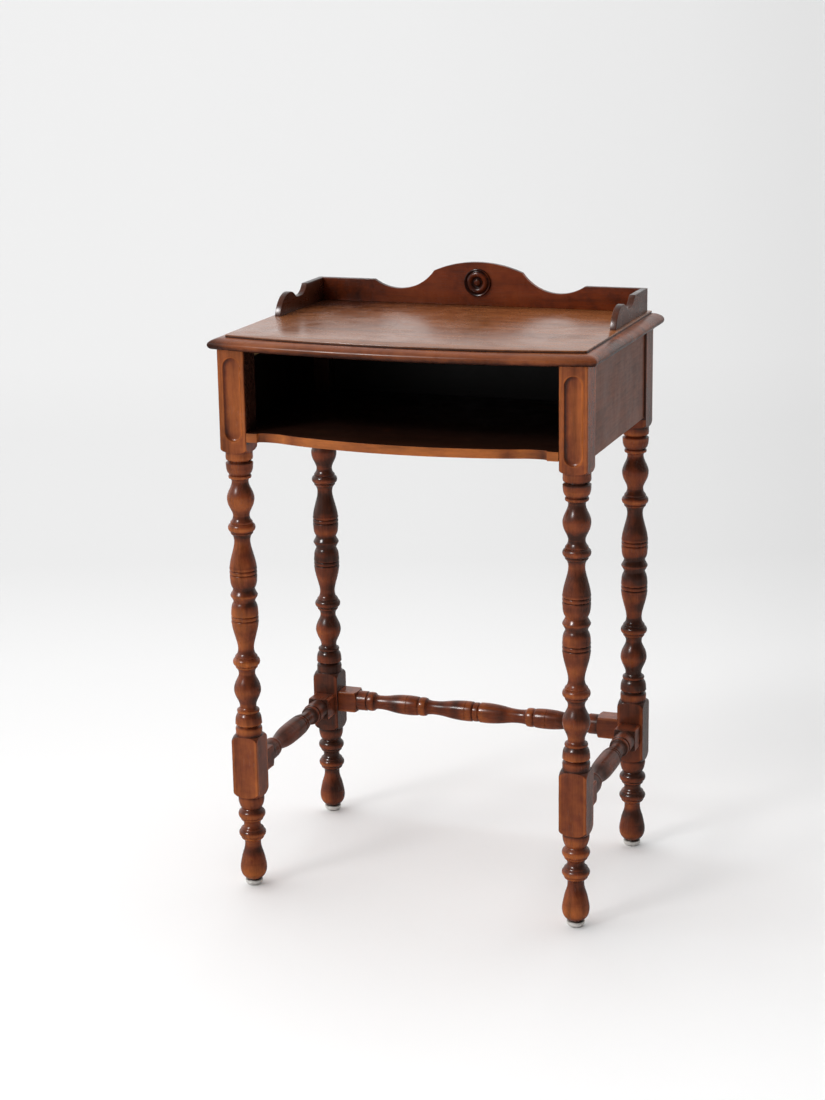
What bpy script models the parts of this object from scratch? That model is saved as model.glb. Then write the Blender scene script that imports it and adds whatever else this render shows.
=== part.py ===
"""Telephone stand: an open compartment on four turned legs, under a bow-fronted top with a gallery.

Lengths are in metres. X runs to the right, Y to the back and Z up. The origin is on the floor, under
the middle of the top's width and depth.
"""

import math

import bmesh
import bpy

# Fits and cuts
GAP = 0.0003  # between pieces that meet
OVERRUN = 0.004  # how far a cut runs past the face it opens on

# Top board
SURFACE_HEIGHT = 0.7625
TOP_WIDTH = 0.520
TOP_DEPTH = 0.3715
TOP_THICKNESS = 0.0175
TOP_BOW = 0.0265  # swell of the front edge at its middle
TOP_CORNER_RADIUS = 0.0018
MOULD_REACH = 0.0175  # edge of the flat field to the nose of the moulding
MOULD_FILLET = 0.0032  # upright step under the flat field
MOULD_ROUND = 0.008  # height of the upper round, from the fillet to the nose
MOULD_UNDERCUT = 0.0058  # nose to the lower arris, measured level

# Legs
LEG_SIZE = 0.037
ARRIS = 0.0012
SIDE_OVERHANG = 0.0121
FRONT_OVERHANG = 0.0042
BACK_OVERHANG = 0.0112
POST_DROP = 0.0155  # square post below the shelf
FOOT_HEIGHT = 0.130  # floor to the square block
BLOCK_HEIGHT = 0.087
SHOULDER_HEIGHT = 0.010  # rounded ends of the square lengths
RECESS_WIDTH = 0.027
RECESS_SLOPE = 0.003
RECESS_DEPTH = 0.0024
RECESS_TOP_MARGIN = 0.009
RECESS_FOOT_MARGIN = 0.013

# Glides
GLIDE_DIAMETER = 0.0235
GLIDE_HEIGHT = 0.0075
GLIDE_NAIL_DIAMETER = 0.0032
GLIDE_NAIL_LENGTH = 0.014
GLIDE_SHARES = [(0, 0.62), (0.12, 0.85), (0.35, 1), (1, 1)]  # of its height, of its radius
NAIL_STRAIGHT_SHARE = 0.8  # of its length, before its point
NAIL_POINT_SHARE = 0.2  # width of the point's end

# Compartment
COMPARTMENT_HEIGHT = 0.1085
SHELF_THICKNESS = 0.012
SHELF_BOW = 0.0172  # front of the posts to the middle of the shelf's front edge
PANEL_THICKNESS = 0.012
PANEL_SETBACK = 0.0028  # face of a panel behind the face of its posts
PANEL_TONGUE_THICKNESS = 0.006
PANEL_TONGUE_DEPTH = 0.006
SHELF_TONGUE_THICKNESS = 0.005
SHELF_TONGUE_DEPTH = 0.005
SHELF_TONGUE_INSET = 0.004  # each end of a tongue, back from the end of the shelf's edge
SHELF_TENON_WIDTH = 0.016
SHELF_TENON_LENGTH = 0.008

# Fixings under the top
DOWEL_DIAMETER = 0.008
DOWEL_IN_POST = 0.012
DOWEL_ROOF = 0.003  # wood left between a dowel's bore and a gallery's groove
CLEAT_SIZE = 0.015
CLEAT_INSET = 0.008  # each end of a cleat, from the post beside it
SCREWS_PER_CLEAT = 3
SCREW_HEAD_DIAMETER = 0.007
SCREW_HEAD_HEIGHT = 0.002
SCREW_SHANK_DIAMETER = 0.0038
SCREW_IN_TOP = 0.011
SCREW_SINK = 0.0005  # top of a screw's head, below the cleat's face
SCREW_STRAIGHT_SHARE = 0.7  # of its length in the top, before its point
SCREW_POINT_SHARE = 0.25  # width of the point's end

# Galleries
GALLERY_THICKNESS = 0.0083
GALLERY_HEIGHT = 0.0315
CROWN_HEIGHT = 0.0595
GALLERY_SIDE_INSET = 0.0045  # outer face, from the edge of the flat field
GALLERY_BACK_INSET = 0.006  # rear face, from the back edge of the top
SIDE_GALLERY_LENGTH = 0.165
GALLERY_TONGUE_THICKNESS = 0.004
GALLERY_TONGUE_DEPTH = 0.005
GALLERY_TONGUE_INSET = 0.020

# Rosette
ROSETTE_DIAMETER = 0.038
ROSETTE_THICKNESS = 0.005
ROSETTE_DROP = 0.0276  # centre below the top of the crown
SPIGOT_DIAMETER = 0.010
SPIGOT_LENGTH = 0.005

# Stretchers
STRETCHER_SIZE = 0.030
STRETCHER_STAGGER = 0.0035  # back stretcher above the side ones
STRETCHER_SHOULDER = 0.005
BACK_STRETCHER_BLOCK = 0.0289  # square end with its rounded shoulder
BACK_STRETCHER_SHIFT = -0.0015  # middle of the turning, from the middle of the stand
SIDE_STRETCHER_BLOCK = 0.029
TENON_THICKNESS = 0.010
TENON_HEIGHT = 0.018
TENON_WALL = 0.0015  # wood between the two tenons that meet in a back leg

# Facets
LEG_FACETS = 12
STRETCHER_FACETS = 12
SMALL_FACETS = 8
ROUND_FACETS = 16
BOW_STEPS = 12
CORNER_STEPS = 3
SHOULDER_STEPS = 3
MOULD_STEPS = 4
STRAIGHT_STEPS = 1
BEAD_STEPS = 2
COVE_STEPS = 2
SWEEP_STEPS = 4
SMOOTH_DEGREES = 40  # faces that meet at less than this are shaded as one

# Outlines of turned lengths: share of the length, share of the stock's side, and the curve that
# comes to that point from the one before. A bead is round and full, a cove is hollow, and a sweep
# is level at both of its ends.
HALF_LEG_SHARES = [
    (0, 0.986, "start"),
    (0.041, 0.816, "bead"),
    (0.125, 0.992, "bead"),
    (0.194, 0.981, "straight"),
    (0.385, 0.592, "sweep"),
    (0.429, 0.778, "cove"),
    (0.436, 0.800, "straight"),
    (0.474, 0.989, "bead"),
    (0.513, 0.800, "bead"),
    (0.520, 0.778, "straight"),
    (0.553, 0.622, "cove"),
    (0.671, 0.984, "sweep"),
    (0.791, 0.611, "sweep"),
    (0.816, 0.716, "cove"),
    (0.819, 0.806, "straight"),
    (0.841, 0.806, "straight"),
    (0.911, 0.984, "bead"),
    (0.922, 0.978, "straight"),
    (0.934, 0.876, "straight"),
    (0.945, 0.973, "straight"),
    (1, 0.973, "straight"),
]
FOOT_SHARES = [
    (0, 0.973, "start"),
    (0.148, 0.784, "bead"),
    (0.217, 0.986, "bead"),
    (0.287, 0.811, "bead"),
    (0.328, 0.630, "cove"),
    (0.369, 0.770, "cove"),
    (0.439, 0.993, "bead"),
    (0.516, 0.784, "bead"),
    (0.570, 0.595, "cove"),
    (0.828, 0.981, "sweep"),
    (1, 0.595, "bead"),
]
HALF_BACK_STRETCHER_SHARES = [
    (0, 0.930, "start"),
    (0.016, 0.920, "straight"),
    (0.025, 0.830, "straight"),
    (0.034, 0.953, "straight"),
    (0.077, 0.980, "bead"),
    (0.357, 0.663, "sweep"),
    (0.418, 0.820, "cove"),
    (0.453, 0.913, "bead"),
    (0.478, 0.833, "bead"),
    (0.486, 0.873, "straight"),
    (0.569, 0.960, "bead"),
    (0.819, 0.673, "sweep"),
    (0.857, 0.827, "cove"),
    (0.887, 0.933, "bead"),
    (0.918, 0.850, "bead"),
    (0.926, 0.960, "straight"),
    (1, 0.960, "straight"),
]
HALF_SIDE_STRETCHER_SHARES = [
    (0, 0.970, "start"),
    (0.15, 0.960, "bead"),
    (0.607, 0.653, "sweep"),
    (0.673, 0.800, "cove"),
    (0.708, 0.907, "bead"),
    (0.750, 0.827, "bead"),
    (0.765, 0.960, "straight"),
    (1, 0.960, "straight"),
]
SHOULDER_SHARE = 0.735  # radius that clears a square blank's corners
HOLLOW_SHARE = 0.4  # where a sweep turns from hollow to round, from its thin end
CURVE_STEPS = {"straight": STRAIGHT_STEPS, "bead": BEAD_STEPS, "cove": COVE_STEPS, "sweep": SWEEP_STEPS}
LONG_BEAD_SHARE = 0.08

# Rosette: share of the radius, share of the thickness
ROSETTE_SHARES = [
    (1, 0),
    (1, 0.55),
    (0.93, 0.70),
    (0.86, 0.55),
    (0.80, 0.45),
    (0.72, 0.80),
    (0.58, 1),
    (0.44, 0.80),
    (0.36, 0.42),
    (0.28, 0.42),
    (0.20, 0.80),
    (0.10, 0.92),
]

# Outlines of boards: shares of the length and the height, and the bend of the arc that comes to
# that point, as its rise over its chord.
HALF_BACK_GALLERY_SHARES = [
    (1, 0.529, 0),
    (0.641, 0.529, 0),
    (0.268, 0.782, 0.205),
    (0, 1, -0.0504),
]
SIDE_GALLERY_SHARES = [
    (0, 0, 0),
    (0.248, 0.889, 0.19),
    (0.340, 0.650, 0.07),
    (0.382, 0.587, -0.08),
    (0.473, 0.587, 0),
    (0.588, 1, -0.11),
    (1, 1, 0),
]
ARC_STEPS = 8
DEEP_BEND_SHARE = 0.1  # flatter arcs have half the steps

# Front edge of the shelf: share of its half length, share of its bow in front of the posts
HALF_SHELF_FRONT_SHARES = [
    (0, 1),
    (0.17, 0.95),
    (0.31, 0.80),
    (0.44, 0.61),
    (0.57, 0.36),
    (0.66, 0.13),
    (0.74, -0.14),
    (0.79, -0.31),
    (0.84, -0.40),
    (0.89, -0.39),
    (0.925, -0.28),
    (0.928, 0),
    (1, 0),
]

# Heights
top_underside = SURFACE_HEIGHT - TOP_THICKNESS
frame_top = top_underside - GAP
shelf_top = top_underside - COMPARTMENT_HEIGHT
shelf_underside = shelf_top - SHELF_THICKNESS
shelf_middle = (shelf_top + shelf_underside) / 2
post_foot = shelf_underside - POST_DROP
block_top = FOOT_HEIGHT + BLOCK_HEIGHT
foot_end = GLIDE_HEIGHT + GAP
back_stretcher_height = FOOT_HEIGHT + BLOCK_HEIGHT / 2 + STRETCHER_STAGGER / 2
side_stretcher_height = FOOT_HEIGHT + BLOCK_HEIGHT / 2 - STRETCHER_STAGGER / 2

# Places of the legs and of the faces around the compartment
leg_half = LEG_SIZE / 2
leg_x = TOP_WIDTH / 2 - SIDE_OVERHANG - leg_half
leg_front_y = -TOP_DEPTH / 2 + TOP_BOW + FRONT_OVERHANG + leg_half
leg_back_y = TOP_DEPTH / 2 - BACK_OVERHANG - leg_half
inner_x = leg_x - leg_half
bay_front_y = leg_front_y + leg_half
bay_back_y = leg_back_y - leg_half
side_panel_outer_x = leg_x + leg_half - PANEL_SETBACK
side_panel_inner_x = side_panel_outer_x - PANEL_THICKNESS
back_panel_outer_y = leg_back_y + leg_half - PANEL_SETBACK
back_panel_inner_y = back_panel_outer_y - PANEL_THICKNESS
post_front_y = leg_front_y - leg_half

# Places of the galleries
field_half = TOP_WIDTH / 2 - MOULD_REACH
gallery_half = field_half - GALLERY_SIDE_INSET
gallery_back_y = TOP_DEPTH / 2 - GALLERY_BACK_INSET
gallery_base = SURFACE_HEIGHT + GAP
crown_top = SURFACE_HEIGHT + CROWN_HEIGHT
rosette_height = crown_top - ROSETTE_DROP

tenon_depth = (LEG_SIZE - TENON_THICKNESS) / 2 - TENON_WALL
dowel_in_top = TOP_THICKNESS - GALLERY_TONGUE_DEPTH - DOWEL_ROOF
SIDES = {"left": -1, "right": 1}


# Materials


def finish(name, colour, roughness, metallic=0.0):
    material = bpy.data.materials.new(name)
    material.use_nodes = True
    shader = material.node_tree.nodes["Principled BSDF"]
    shader.inputs["Base Color"].default_value = (*colour, 1)
    shader.inputs["Roughness"].default_value = roughness
    shader.inputs["Metallic"].default_value = metallic
    return material


def make_materials():
    return {
        "top": finish("top_wood", (0.26, 0.105, 0.05), 0.32),
        "gallery": finish("gallery_wood", (0.17, 0.05, 0.028), 0.35),
        "leg": finish("leg_wood", (0.16, 0.048, 0.02), 0.32),
        "stretcher": finish("stretcher_wood", (0.15, 0.045, 0.02), 0.34),
        "panel": finish("panel_wood", (0.11, 0.045, 0.028), 0.4),
        "shelf": finish("shelf_wood", (0.2, 0.07, 0.03), 0.36),
        "hidden": finish("plain_wood", (0.42, 0.28, 0.15), 0.7),
        "glide": finish("nickel", (0.62, 0.6, 0.56), 0.3, 1.0),
        "screw": finish("steel", (0.45, 0.45, 0.46), 0.4, 1.0),
    }


# Solids and cuts


def loft(name, rings):
    """A closed solid through rings that have the same number of points, capped at both ends."""
    shape = bmesh.new()
    rows = [[shape.verts.new(point) for point in ring] for ring in rings]
    for lower, upper in zip(rows, rows[1:]):
        for i in range(len(lower)):
            shape.faces.new((lower[i - 1], lower[i], upper[i], upper[i - 1]))
    shape.faces.new(rows[0])
    shape.faces.new(rows[-1])
    bmesh.ops.recalc_face_normals(shape, faces=shape.faces)
    mesh = bpy.data.meshes.new(name)
    shape.to_mesh(mesh)
    shape.free()
    solid = bpy.data.objects.new(name, mesh)
    bpy.context.scene.collection.objects.link(solid)
    return solid


def block(name, box):
    (x0, y0, z0), (x1, y1, z1) = box
    corners = [(x0, y0), (x1, y0), (x1, y1), (x0, y1)]
    return loft(name, [[(x, y, z) for x, y in corners] for z in (z0, z1)])


def grown(box, by):
    low, high = box
    return tuple(value - by for value in low), tuple(value + by for value in high)


def mirrored(box, side):
    """A box given for the right side, or its mirror image on the left."""
    (x0, y0, z0), (x1, y1, z1) = box
    ends = sorted((side * x0, side * x1))
    return (ends[0], y0, z0), (ends[1], y1, z1)


def combine(solid, operation, *tools):
    """Joins the tools to the solid, cuts them out of it or keeps what is common, then removes them."""
    for tool in tools:
        change = solid.modifiers.new(tool.name, "BOOLEAN")
        change.operation = operation
        change.object = tool
    graph = bpy.context.evaluated_depsgraph_get()
    mesh = bpy.data.meshes.new_from_object(solid.evaluated_get(graph))
    solid.modifiers.clear()
    solid.data = mesh
    for tool in tools:
        bpy.data.objects.remove(tool)


def complete(solid, material):
    """Gives the solid its material and its smooth faces."""
    solid.data.materials.clear()
    solid.data.materials.append(material)
    solid.data.shade_smooth()
    solid.data.set_sharp_from_angle(angle=math.radians(SMOOTH_DEGREES))


def turned(name, outline, facets, place=(0, 0, 0), axis="Z"):
    """A solid of revolution through (distance, radius) points, along the named axis from place."""
    rings = []
    for distance, radius in outline:
        ring = []
        for i in range(facets):
            angle = math.tau * i / facets
            a = radius * math.cos(angle)
            b = radius * math.sin(angle)
            spots = {"X": (distance, a, b), "Y": (a, distance, b), "Z": (a, b, distance)}
            ring.append([start + step for start, step in zip(place, spots[axis])])
        rings.append(ring)
    return loft(name, rings)


def square_bar(name, size, start, end, place, axis):
    """A square bar with its long arrises taken off."""
    half = size / 2
    cut = half - ARRIS
    section = [(half, cut), (cut, half), (-cut, half), (-half, cut)]
    section += [(-a, -b) for a, b in section]
    rings = []
    for distance in (start, end):
        ring = []
        for a, b in section:
            spots = {"X": (distance, a, b), "Y": (a, distance, b), "Z": (a, b, distance)}
            ring.append([origin + step for origin, step in zip(place, spots[axis])])
        rings.append(ring)
    return loft(name, rings)


# Turned outlines


def sweep_share(way):
    """How far a sweep has swelled, a given share of the way from its thin end."""
    if way < HOLLOW_SHARE:
        return way**2 / HOLLOW_SHARE
    return 1 - (1 - way) ** 2 / (1 - HOLLOW_SHARE)


def curve_shares(curve, rising, steps):
    """Shares of the way along and of the change in width, for each step of a curve."""
    for i in range(1, steps + 1):
        share = i / steps
        turn = share * math.pi / 2
        if curve == "straight":
            yield share, share
        elif curve == "sweep":
            yield share, sweep_share(share) if rising else 1 - sweep_share(1 - share)
        elif (curve == "bead") == rising:
            yield 1 - math.cos(turn), math.sin(turn)
        else:
            yield math.sin(turn), 1 - math.cos(turn)


def turned_outline(stations, length, size):
    """(distance, radius) points of a turned length, from its table of shares."""
    points = [(0, stations[0][1] * size / 2)]
    for (start, width, _), (end, next_width, curve) in zip(stations, stations[1:]):
        steps = CURVE_STEPS[curve]
        if curve == "bead" and end - start > LONG_BEAD_SHARE:
            steps += 1
        for along, change in curve_shares(curve, next_width > width, steps):
            distance = start + (end - start) * along
            diameter = width + (next_width - width) * change
            points.append((distance * length, diameter * size / 2))
    return points


def both_ways(half, middle):
    """A half outline, mirrored about its middle and placed along the axis."""
    lower = [(middle - distance, radius) for distance, radius in reversed(half[1:])]
    return lower + [(middle + distance, radius) for distance, radius in half]


def shoulder(start, height, radius, size):
    """Outline that swells from a turned end at start to clear the corners of a square length."""
    clear = SHOULDER_SHARE * size
    points = []
    for along, change in curve_shares("bead", True, SHOULDER_STEPS):
        points.append((start + height * along, radius + (clear - radius) * change))
    return points


# Legs


def leg_turning():
    """Outline that the square blank of a leg is turned to, from below the foot to above the post."""
    foot = turned_outline(FOOT_SHARES, FOOT_HEIGHT - foot_end, LEG_SIZE)
    foot = [(FOOT_HEIGHT - distance, radius) for distance, radius in reversed(foot)]
    half_length = (post_foot - block_top) / 2
    half = turned_outline(HALF_LEG_SHARES, half_length, LEG_SIZE)
    shaft = both_ways(half, block_top + half_length)
    foot_radius = foot[-1][1]
    shaft_radius = shaft[0][1]
    return [
        (foot[0][0] - OVERRUN, foot[0][1]),
        *foot,
        *shoulder(FOOT_HEIGHT, SHOULDER_HEIGHT, foot_radius, LEG_SIZE),
        *reversed(shoulder(block_top, -SHOULDER_HEIGHT, shaft_radius, LEG_SIZE)),
        *shaft,
        *shoulder(post_foot, SHOULDER_HEIGHT, shaft_radius, LEG_SIZE),
        (frame_top + OVERRUN, SHOULDER_SHARE * LEG_SIZE),
    ]


def capsule(width, low, high):
    """Points of a round-ended upright panel, about x = 0."""
    radius = width / 2
    points = []
    for centre, start in ((high - radius, 0), (low + radius, math.pi)):
        for i in range(ROUND_FACETS // 2 + 1):
            angle = start + math.tau * i / ROUND_FACETS
            points.append((radius * math.cos(angle), centre + radius * math.sin(angle)))
    return points


def recess(x):
    """Cutter for the sunk panel in the front of a front post."""
    low = post_foot + RECESS_FOOT_MARGIN
    high = frame_top - RECESS_TOP_MARGIN
    outer = capsule(RECESS_WIDTH, low, high)
    inner = capsule(RECESS_WIDTH - 2 * RECESS_SLOPE, low + RECESS_SLOPE, high - RECESS_SLOPE)
    rings = []
    for outline, y in (
        (outer, post_front_y - OVERRUN),
        (outer, post_front_y),
        (inner, post_front_y + RECESS_DEPTH),
    ):
        rings.append([(x + across, y, z) for across, z in outline])
    return loft("recess", rings)


def dowel_bore(x, y):
    outline = [
        (frame_top - DOWEL_IN_POST - GAP, DOWEL_DIAMETER / 2 + GAP),
        (top_underside + dowel_in_top + GAP, DOWEL_DIAMETER / 2 + GAP),
    ]
    return turned("dowel_bore", outline, SMALL_FACETS, (x, y, 0))


def nail_bore(x, y):
    top = foot_end + GLIDE_NAIL_LENGTH + GAP
    radius = GLIDE_NAIL_DIAMETER / 2 + GAP
    return turned("nail_bore", [(foot_end - OVERRUN, radius), (top, radius)], LEG_FACETS, (x, y, 0))


def groove_for(tongue, open_top=False):
    """Cutter for the groove or mortise that a tongue or tenon fits."""
    low, high = grown(tongue, GAP)
    if open_top:
        high = (high[0], high[1], frame_top + OVERRUN)
    return block("groove", (low, high))


def leg(end, hand, material):
    side = SIDES[hand]
    x = side * leg_x
    y = leg_front_y if end == "front" else leg_back_y
    name = f"leg_{end}_{hand}"
    solid = square_bar(name, LEG_SIZE, foot_end, frame_top, (x, y, 0), "Z")
    combine(solid, "INTERSECT", turned("turning", leg_turning(), LEG_FACETS, (x, y, 0)))
    cuts = [
        dowel_bore(x, y),
        nail_bore(x, y),
        groove_for(side_panel_tongue(side, end), open_top=True),
        groove_for(side_tenon(side, end)),
    ]
    if end == "front":
        cuts += [recess(x), groove_for(shelf_tenon(side))]
    else:
        cuts += [groove_for(back_panel_tongue(side), open_top=True), groove_for(back_tenon(side))]
    combine(solid, "DIFFERENCE", *cuts)
    complete(solid, material)


def glide(end, hand, material):
    x = SIDES[hand] * leg_x
    y = leg_front_y if end == "front" else leg_back_y
    radius = GLIDE_DIAMETER / 2
    nail = GLIDE_NAIL_DIAMETER / 2
    outline = [(up * GLIDE_HEIGHT, share * radius) for up, share in GLIDE_SHARES]
    outline += [
        (GLIDE_HEIGHT, nail),
        (foot_end + GLIDE_NAIL_LENGTH * NAIL_STRAIGHT_SHARE, nail),
        (foot_end + GLIDE_NAIL_LENGTH, nail * NAIL_POINT_SHARE),
    ]
    solid = turned(f"glide_{end}_{hand}", outline, LEG_FACETS, (x, y, 0))
    complete(solid, material)


# Tenons and tongues, each as the box that it fills


def back_tenon(side):
    half = TENON_THICKNESS / 2
    rise = TENON_HEIGHT / 2
    low = (inner_x - OVERRUN, leg_back_y - half, back_stretcher_height - rise)
    high = (inner_x + tenon_depth, leg_back_y + half, back_stretcher_height + rise)
    return mirrored((low, high), side)


def side_tenon(side, end):
    half = TENON_THICKNESS / 2
    rise = TENON_HEIGHT / 2
    if end == "front":
        y0, y1 = bay_front_y - tenon_depth, bay_front_y + OVERRUN
    else:
        y0, y1 = bay_back_y - OVERRUN, bay_back_y + tenon_depth
    low = (leg_x - half, y0, side_stretcher_height - rise)
    high = (leg_x + half, y1, side_stretcher_height + rise)
    return mirrored((low, high), side)


def side_panel_tongue(side, end):
    middle = (side_panel_outer_x + side_panel_inner_x) / 2
    half = PANEL_TONGUE_THICKNESS / 2
    if end == "front":
        y0, y1 = bay_front_y - PANEL_TONGUE_DEPTH, bay_front_y + OVERRUN
    else:
        y0, y1 = bay_back_y - OVERRUN, bay_back_y + PANEL_TONGUE_DEPTH
    box = (middle - half, y0, shelf_underside), (middle + half, y1, frame_top)
    return mirrored(box, side)


def back_panel_tongue(side):
    middle = (back_panel_outer_y + back_panel_inner_y) / 2
    half = PANEL_TONGUE_THICKNESS / 2
    low = (inner_x - OVERRUN, middle - half, shelf_underside)
    high = (inner_x + PANEL_TONGUE_DEPTH, middle + half, frame_top)
    return mirrored((low, high), side)


def shelf_tenon(side):
    half = SHELF_TENON_WIDTH / 2
    rise = SHELF_TONGUE_THICKNESS / 2
    low = (inner_x - OVERRUN, leg_front_y - half, shelf_middle - rise)
    high = (inner_x + SHELF_TENON_LENGTH, leg_front_y + half, shelf_middle + rise)
    return mirrored((low, high), side)


def shelf_side_tongue(side):
    rise = SHELF_TONGUE_THICKNESS / 2
    low = (side_panel_inner_x - OVERRUN, bay_front_y + SHELF_TONGUE_INSET, shelf_middle - rise)
    high = (
        side_panel_inner_x + SHELF_TONGUE_DEPTH,
        bay_back_y - SHELF_TONGUE_INSET,
        shelf_middle + rise,
    )
    return mirrored((low, high), side)


def shelf_back_tongue():
    reach = inner_x - SHELF_TONGUE_INSET
    rise = SHELF_TONGUE_THICKNESS / 2
    low = (-reach, back_panel_inner_y - OVERRUN, shelf_middle - rise)
    high = (reach, back_panel_inner_y + SHELF_TONGUE_DEPTH, shelf_middle + rise)
    return low, high


def gallery_tongue(kind):
    """Box of the tongue under the back gallery, or under the side gallery on the right.

    Its groove starts at the gallery's inner face, so the field between the galleries is whole.
    """
    z0, z1 = SURFACE_HEIGHT - GALLERY_TONGUE_DEPTH, gallery_base + OVERRUN
    if kind == "back":
        inner = gallery_back_y - GALLERY_THICKNESS + GAP
        reach = gallery_half - GALLERY_TONGUE_INSET
        return (-reach, inner, z0), (reach, inner + GALLERY_TONGUE_THICKNESS, z1)
    inner = gallery_half - GALLERY_THICKNESS + GAP
    back = gallery_back_y - GALLERY_TONGUE_INSET
    front = gallery_back_y - SIDE_GALLERY_LENGTH + GALLERY_TONGUE_INSET
    return (inner, front, z0), (inner + GALLERY_TONGUE_THICKNESS, back, z1)


# Stretchers


def stretcher_turning(shares, span, block_length, shift):
    """Outline along a stretcher, from end to end, about the middle of its span."""
    half_length = span / 2 - block_length
    half = turned_outline(shares, half_length, STRETCHER_SIZE)
    middle = both_ways(half, shift)
    radius = middle[0][1]
    clear = SHOULDER_SHARE * STRETCHER_SIZE
    start = shift - half_length
    end = shift + half_length
    return [
        (-span / 2 - OVERRUN, clear),
        *reversed(shoulder(start, -STRETCHER_SHOULDER, radius, STRETCHER_SIZE)),
        *middle,
        *shoulder(end, STRETCHER_SHOULDER, radius, STRETCHER_SIZE),
        (span / 2 + OVERRUN, clear),
    ]


def stretcher(name, outline, span, place, axis, tenons, material):
    end = span / 2 - GAP
    solid = square_bar(name, STRETCHER_SIZE, -end, end, place, axis)
    combine(solid, "INTERSECT", turned("turning", outline, STRETCHER_FACETS, place, axis))
    combine(solid, "UNION", *[block("tenon", tenon) for tenon in tenons])
    complete(solid, material)


def stretchers(material):
    span = 2 * inner_x
    outline = stretcher_turning(
        HALF_BACK_STRETCHER_SHARES, span, BACK_STRETCHER_BLOCK, BACK_STRETCHER_SHIFT
    )
    place = (0, leg_back_y, back_stretcher_height)
    tenons = [back_tenon(side) for side in SIDES.values()]
    stretcher("back_stretcher", outline, span, place, "X", tenons, material)
    span = bay_back_y - bay_front_y
    outline = stretcher_turning(HALF_SIDE_STRETCHER_SHARES, span, SIDE_STRETCHER_BLOCK, 0)
    for hand, side in SIDES.items():
        place = (side * leg_x, (bay_front_y + bay_back_y) / 2, side_stretcher_height)
        tenons = [side_tenon(side, end) for end in ("front", "back")]
        stretcher(f"side_stretcher_{hand}", outline, span, place, "Y", tenons, material)


# Compartment


def side_panel(hand, material):
    side = SIDES[hand]
    box = (
        (side_panel_inner_x, bay_front_y + GAP, shelf_underside),
        (side_panel_outer_x, bay_back_y - GAP, frame_top),
    )
    solid = block(f"side_panel_{hand}", mirrored(box, side))
    tongues = [block("tongue", side_panel_tongue(side, end)) for end in ("front", "back")]
    combine(solid, "UNION", *tongues)
    combine(solid, "DIFFERENCE", groove_for(shelf_side_tongue(side)))
    complete(solid, material)


def back_panel(material):
    low = (-inner_x + GAP, back_panel_inner_y, shelf_underside)
    high = (inner_x - GAP, back_panel_outer_y, frame_top)
    solid = block("back_panel", (low, high))
    combine(solid, "UNION", *[block("tongue", back_panel_tongue(side)) for side in SIDES.values()])
    combine(solid, "DIFFERENCE", groove_for(shelf_back_tongue()))
    complete(solid, material)


def shelf_outline():
    """Outline of the shelf from above, counter-clockwise from the middle of its front."""
    narrow = inner_x - GAP
    wide = side_panel_inner_x - GAP
    front = bay_front_y + GAP
    back = bay_back_y - GAP
    rear = back_panel_inner_y - GAP
    half = [(x * narrow, post_front_y - y * SHELF_BOW) for x, y in HALF_SHELF_FRONT_SHARES]
    half += [(narrow, front), (wide, front), (wide, back), (narrow, back), (narrow, rear)]
    return half + [(-x, y) for x, y in reversed(half[1:])]


def shelf(material):
    outline = shelf_outline()
    solid = loft("shelf", [[(x, y, z) for x, y in outline] for z in (shelf_underside, shelf_top)])
    tongues = [shelf_back_tongue()]
    for side in SIDES.values():
        tongues += [shelf_side_tongue(side), shelf_tenon(side)]
    combine(solid, "UNION", *[block("tongue", tongue) for tongue in tongues])
    complete(solid, material)


# Top board


def top_outline(reach):
    """Outline of the top at a given reach beyond its flat field, from above, counter-clockwise."""
    half = field_half + reach
    radius = (half**2 + TOP_BOW**2) / (2 * TOP_BOW)
    front_middle = -TOP_DEPTH / 2 + MOULD_REACH - reach
    centre_y = front_middle + radius
    turn = math.asin(half / radius) - TOP_CORNER_RADIUS / radius
    points = [(half, TOP_DEPTH / 2)]
    side_y = front_middle + TOP_BOW + TOP_CORNER_RADIUS
    front_x = radius * math.sin(turn)
    front_y = centre_y - radius * math.cos(turn)
    for i in range(CORNER_STEPS + 1):
        angle = i / CORNER_STEPS * math.pi / 2
        x = half + (front_x - half) * (1 - math.cos(angle))
        y = side_y + (front_y - side_y) * math.sin(angle)
        points.append((x, y))
    for i in range(1, BOW_STEPS // 2):
        angle = turn * (1 - 2 * i / BOW_STEPS)
        points.append((radius * math.sin(angle), centre_y - radius * math.cos(angle)))
    other_half = [(-x, y) for x, y in reversed(points)]
    return points + [(0, front_middle)] + other_half


def mould_profile():
    """(reach, height) points of the moulded edge, from the flat field down to the underside."""
    nose_height = SURFACE_HEIGHT - MOULD_FILLET - MOULD_ROUND
    points = [(0, SURFACE_HEIGHT)]
    for i in range(MOULD_STEPS + 1):
        angle = i / MOULD_STEPS * math.pi / 2
        points.append((MOULD_REACH * math.sin(angle), nose_height + MOULD_ROUND * math.cos(angle)))
    for i in range(1, MOULD_STEPS):
        angle = i / (MOULD_STEPS - 1) * math.pi / 2
        reach = MOULD_REACH - MOULD_UNDERCUT * (1 - math.cos(angle))
        points.append((reach, nose_height + (top_underside - nose_height) * math.sin(angle)))
    return points


def screw_places():
    """(name, x, y) of each screw under the top."""
    front = bay_front_y + CLEAT_INSET
    back = bay_back_y - CLEAT_INSET
    spacing = (back - front) / SCREWS_PER_CLEAT
    x = side_panel_inner_x - GAP - CLEAT_SIZE / 2
    for hand, side in SIDES.items():
        for i in range(SCREWS_PER_CLEAT):
            y = front + spacing * i + spacing / 2
            yield f"cleat_screw_{hand}_{i + 1}", side * x, y


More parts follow.
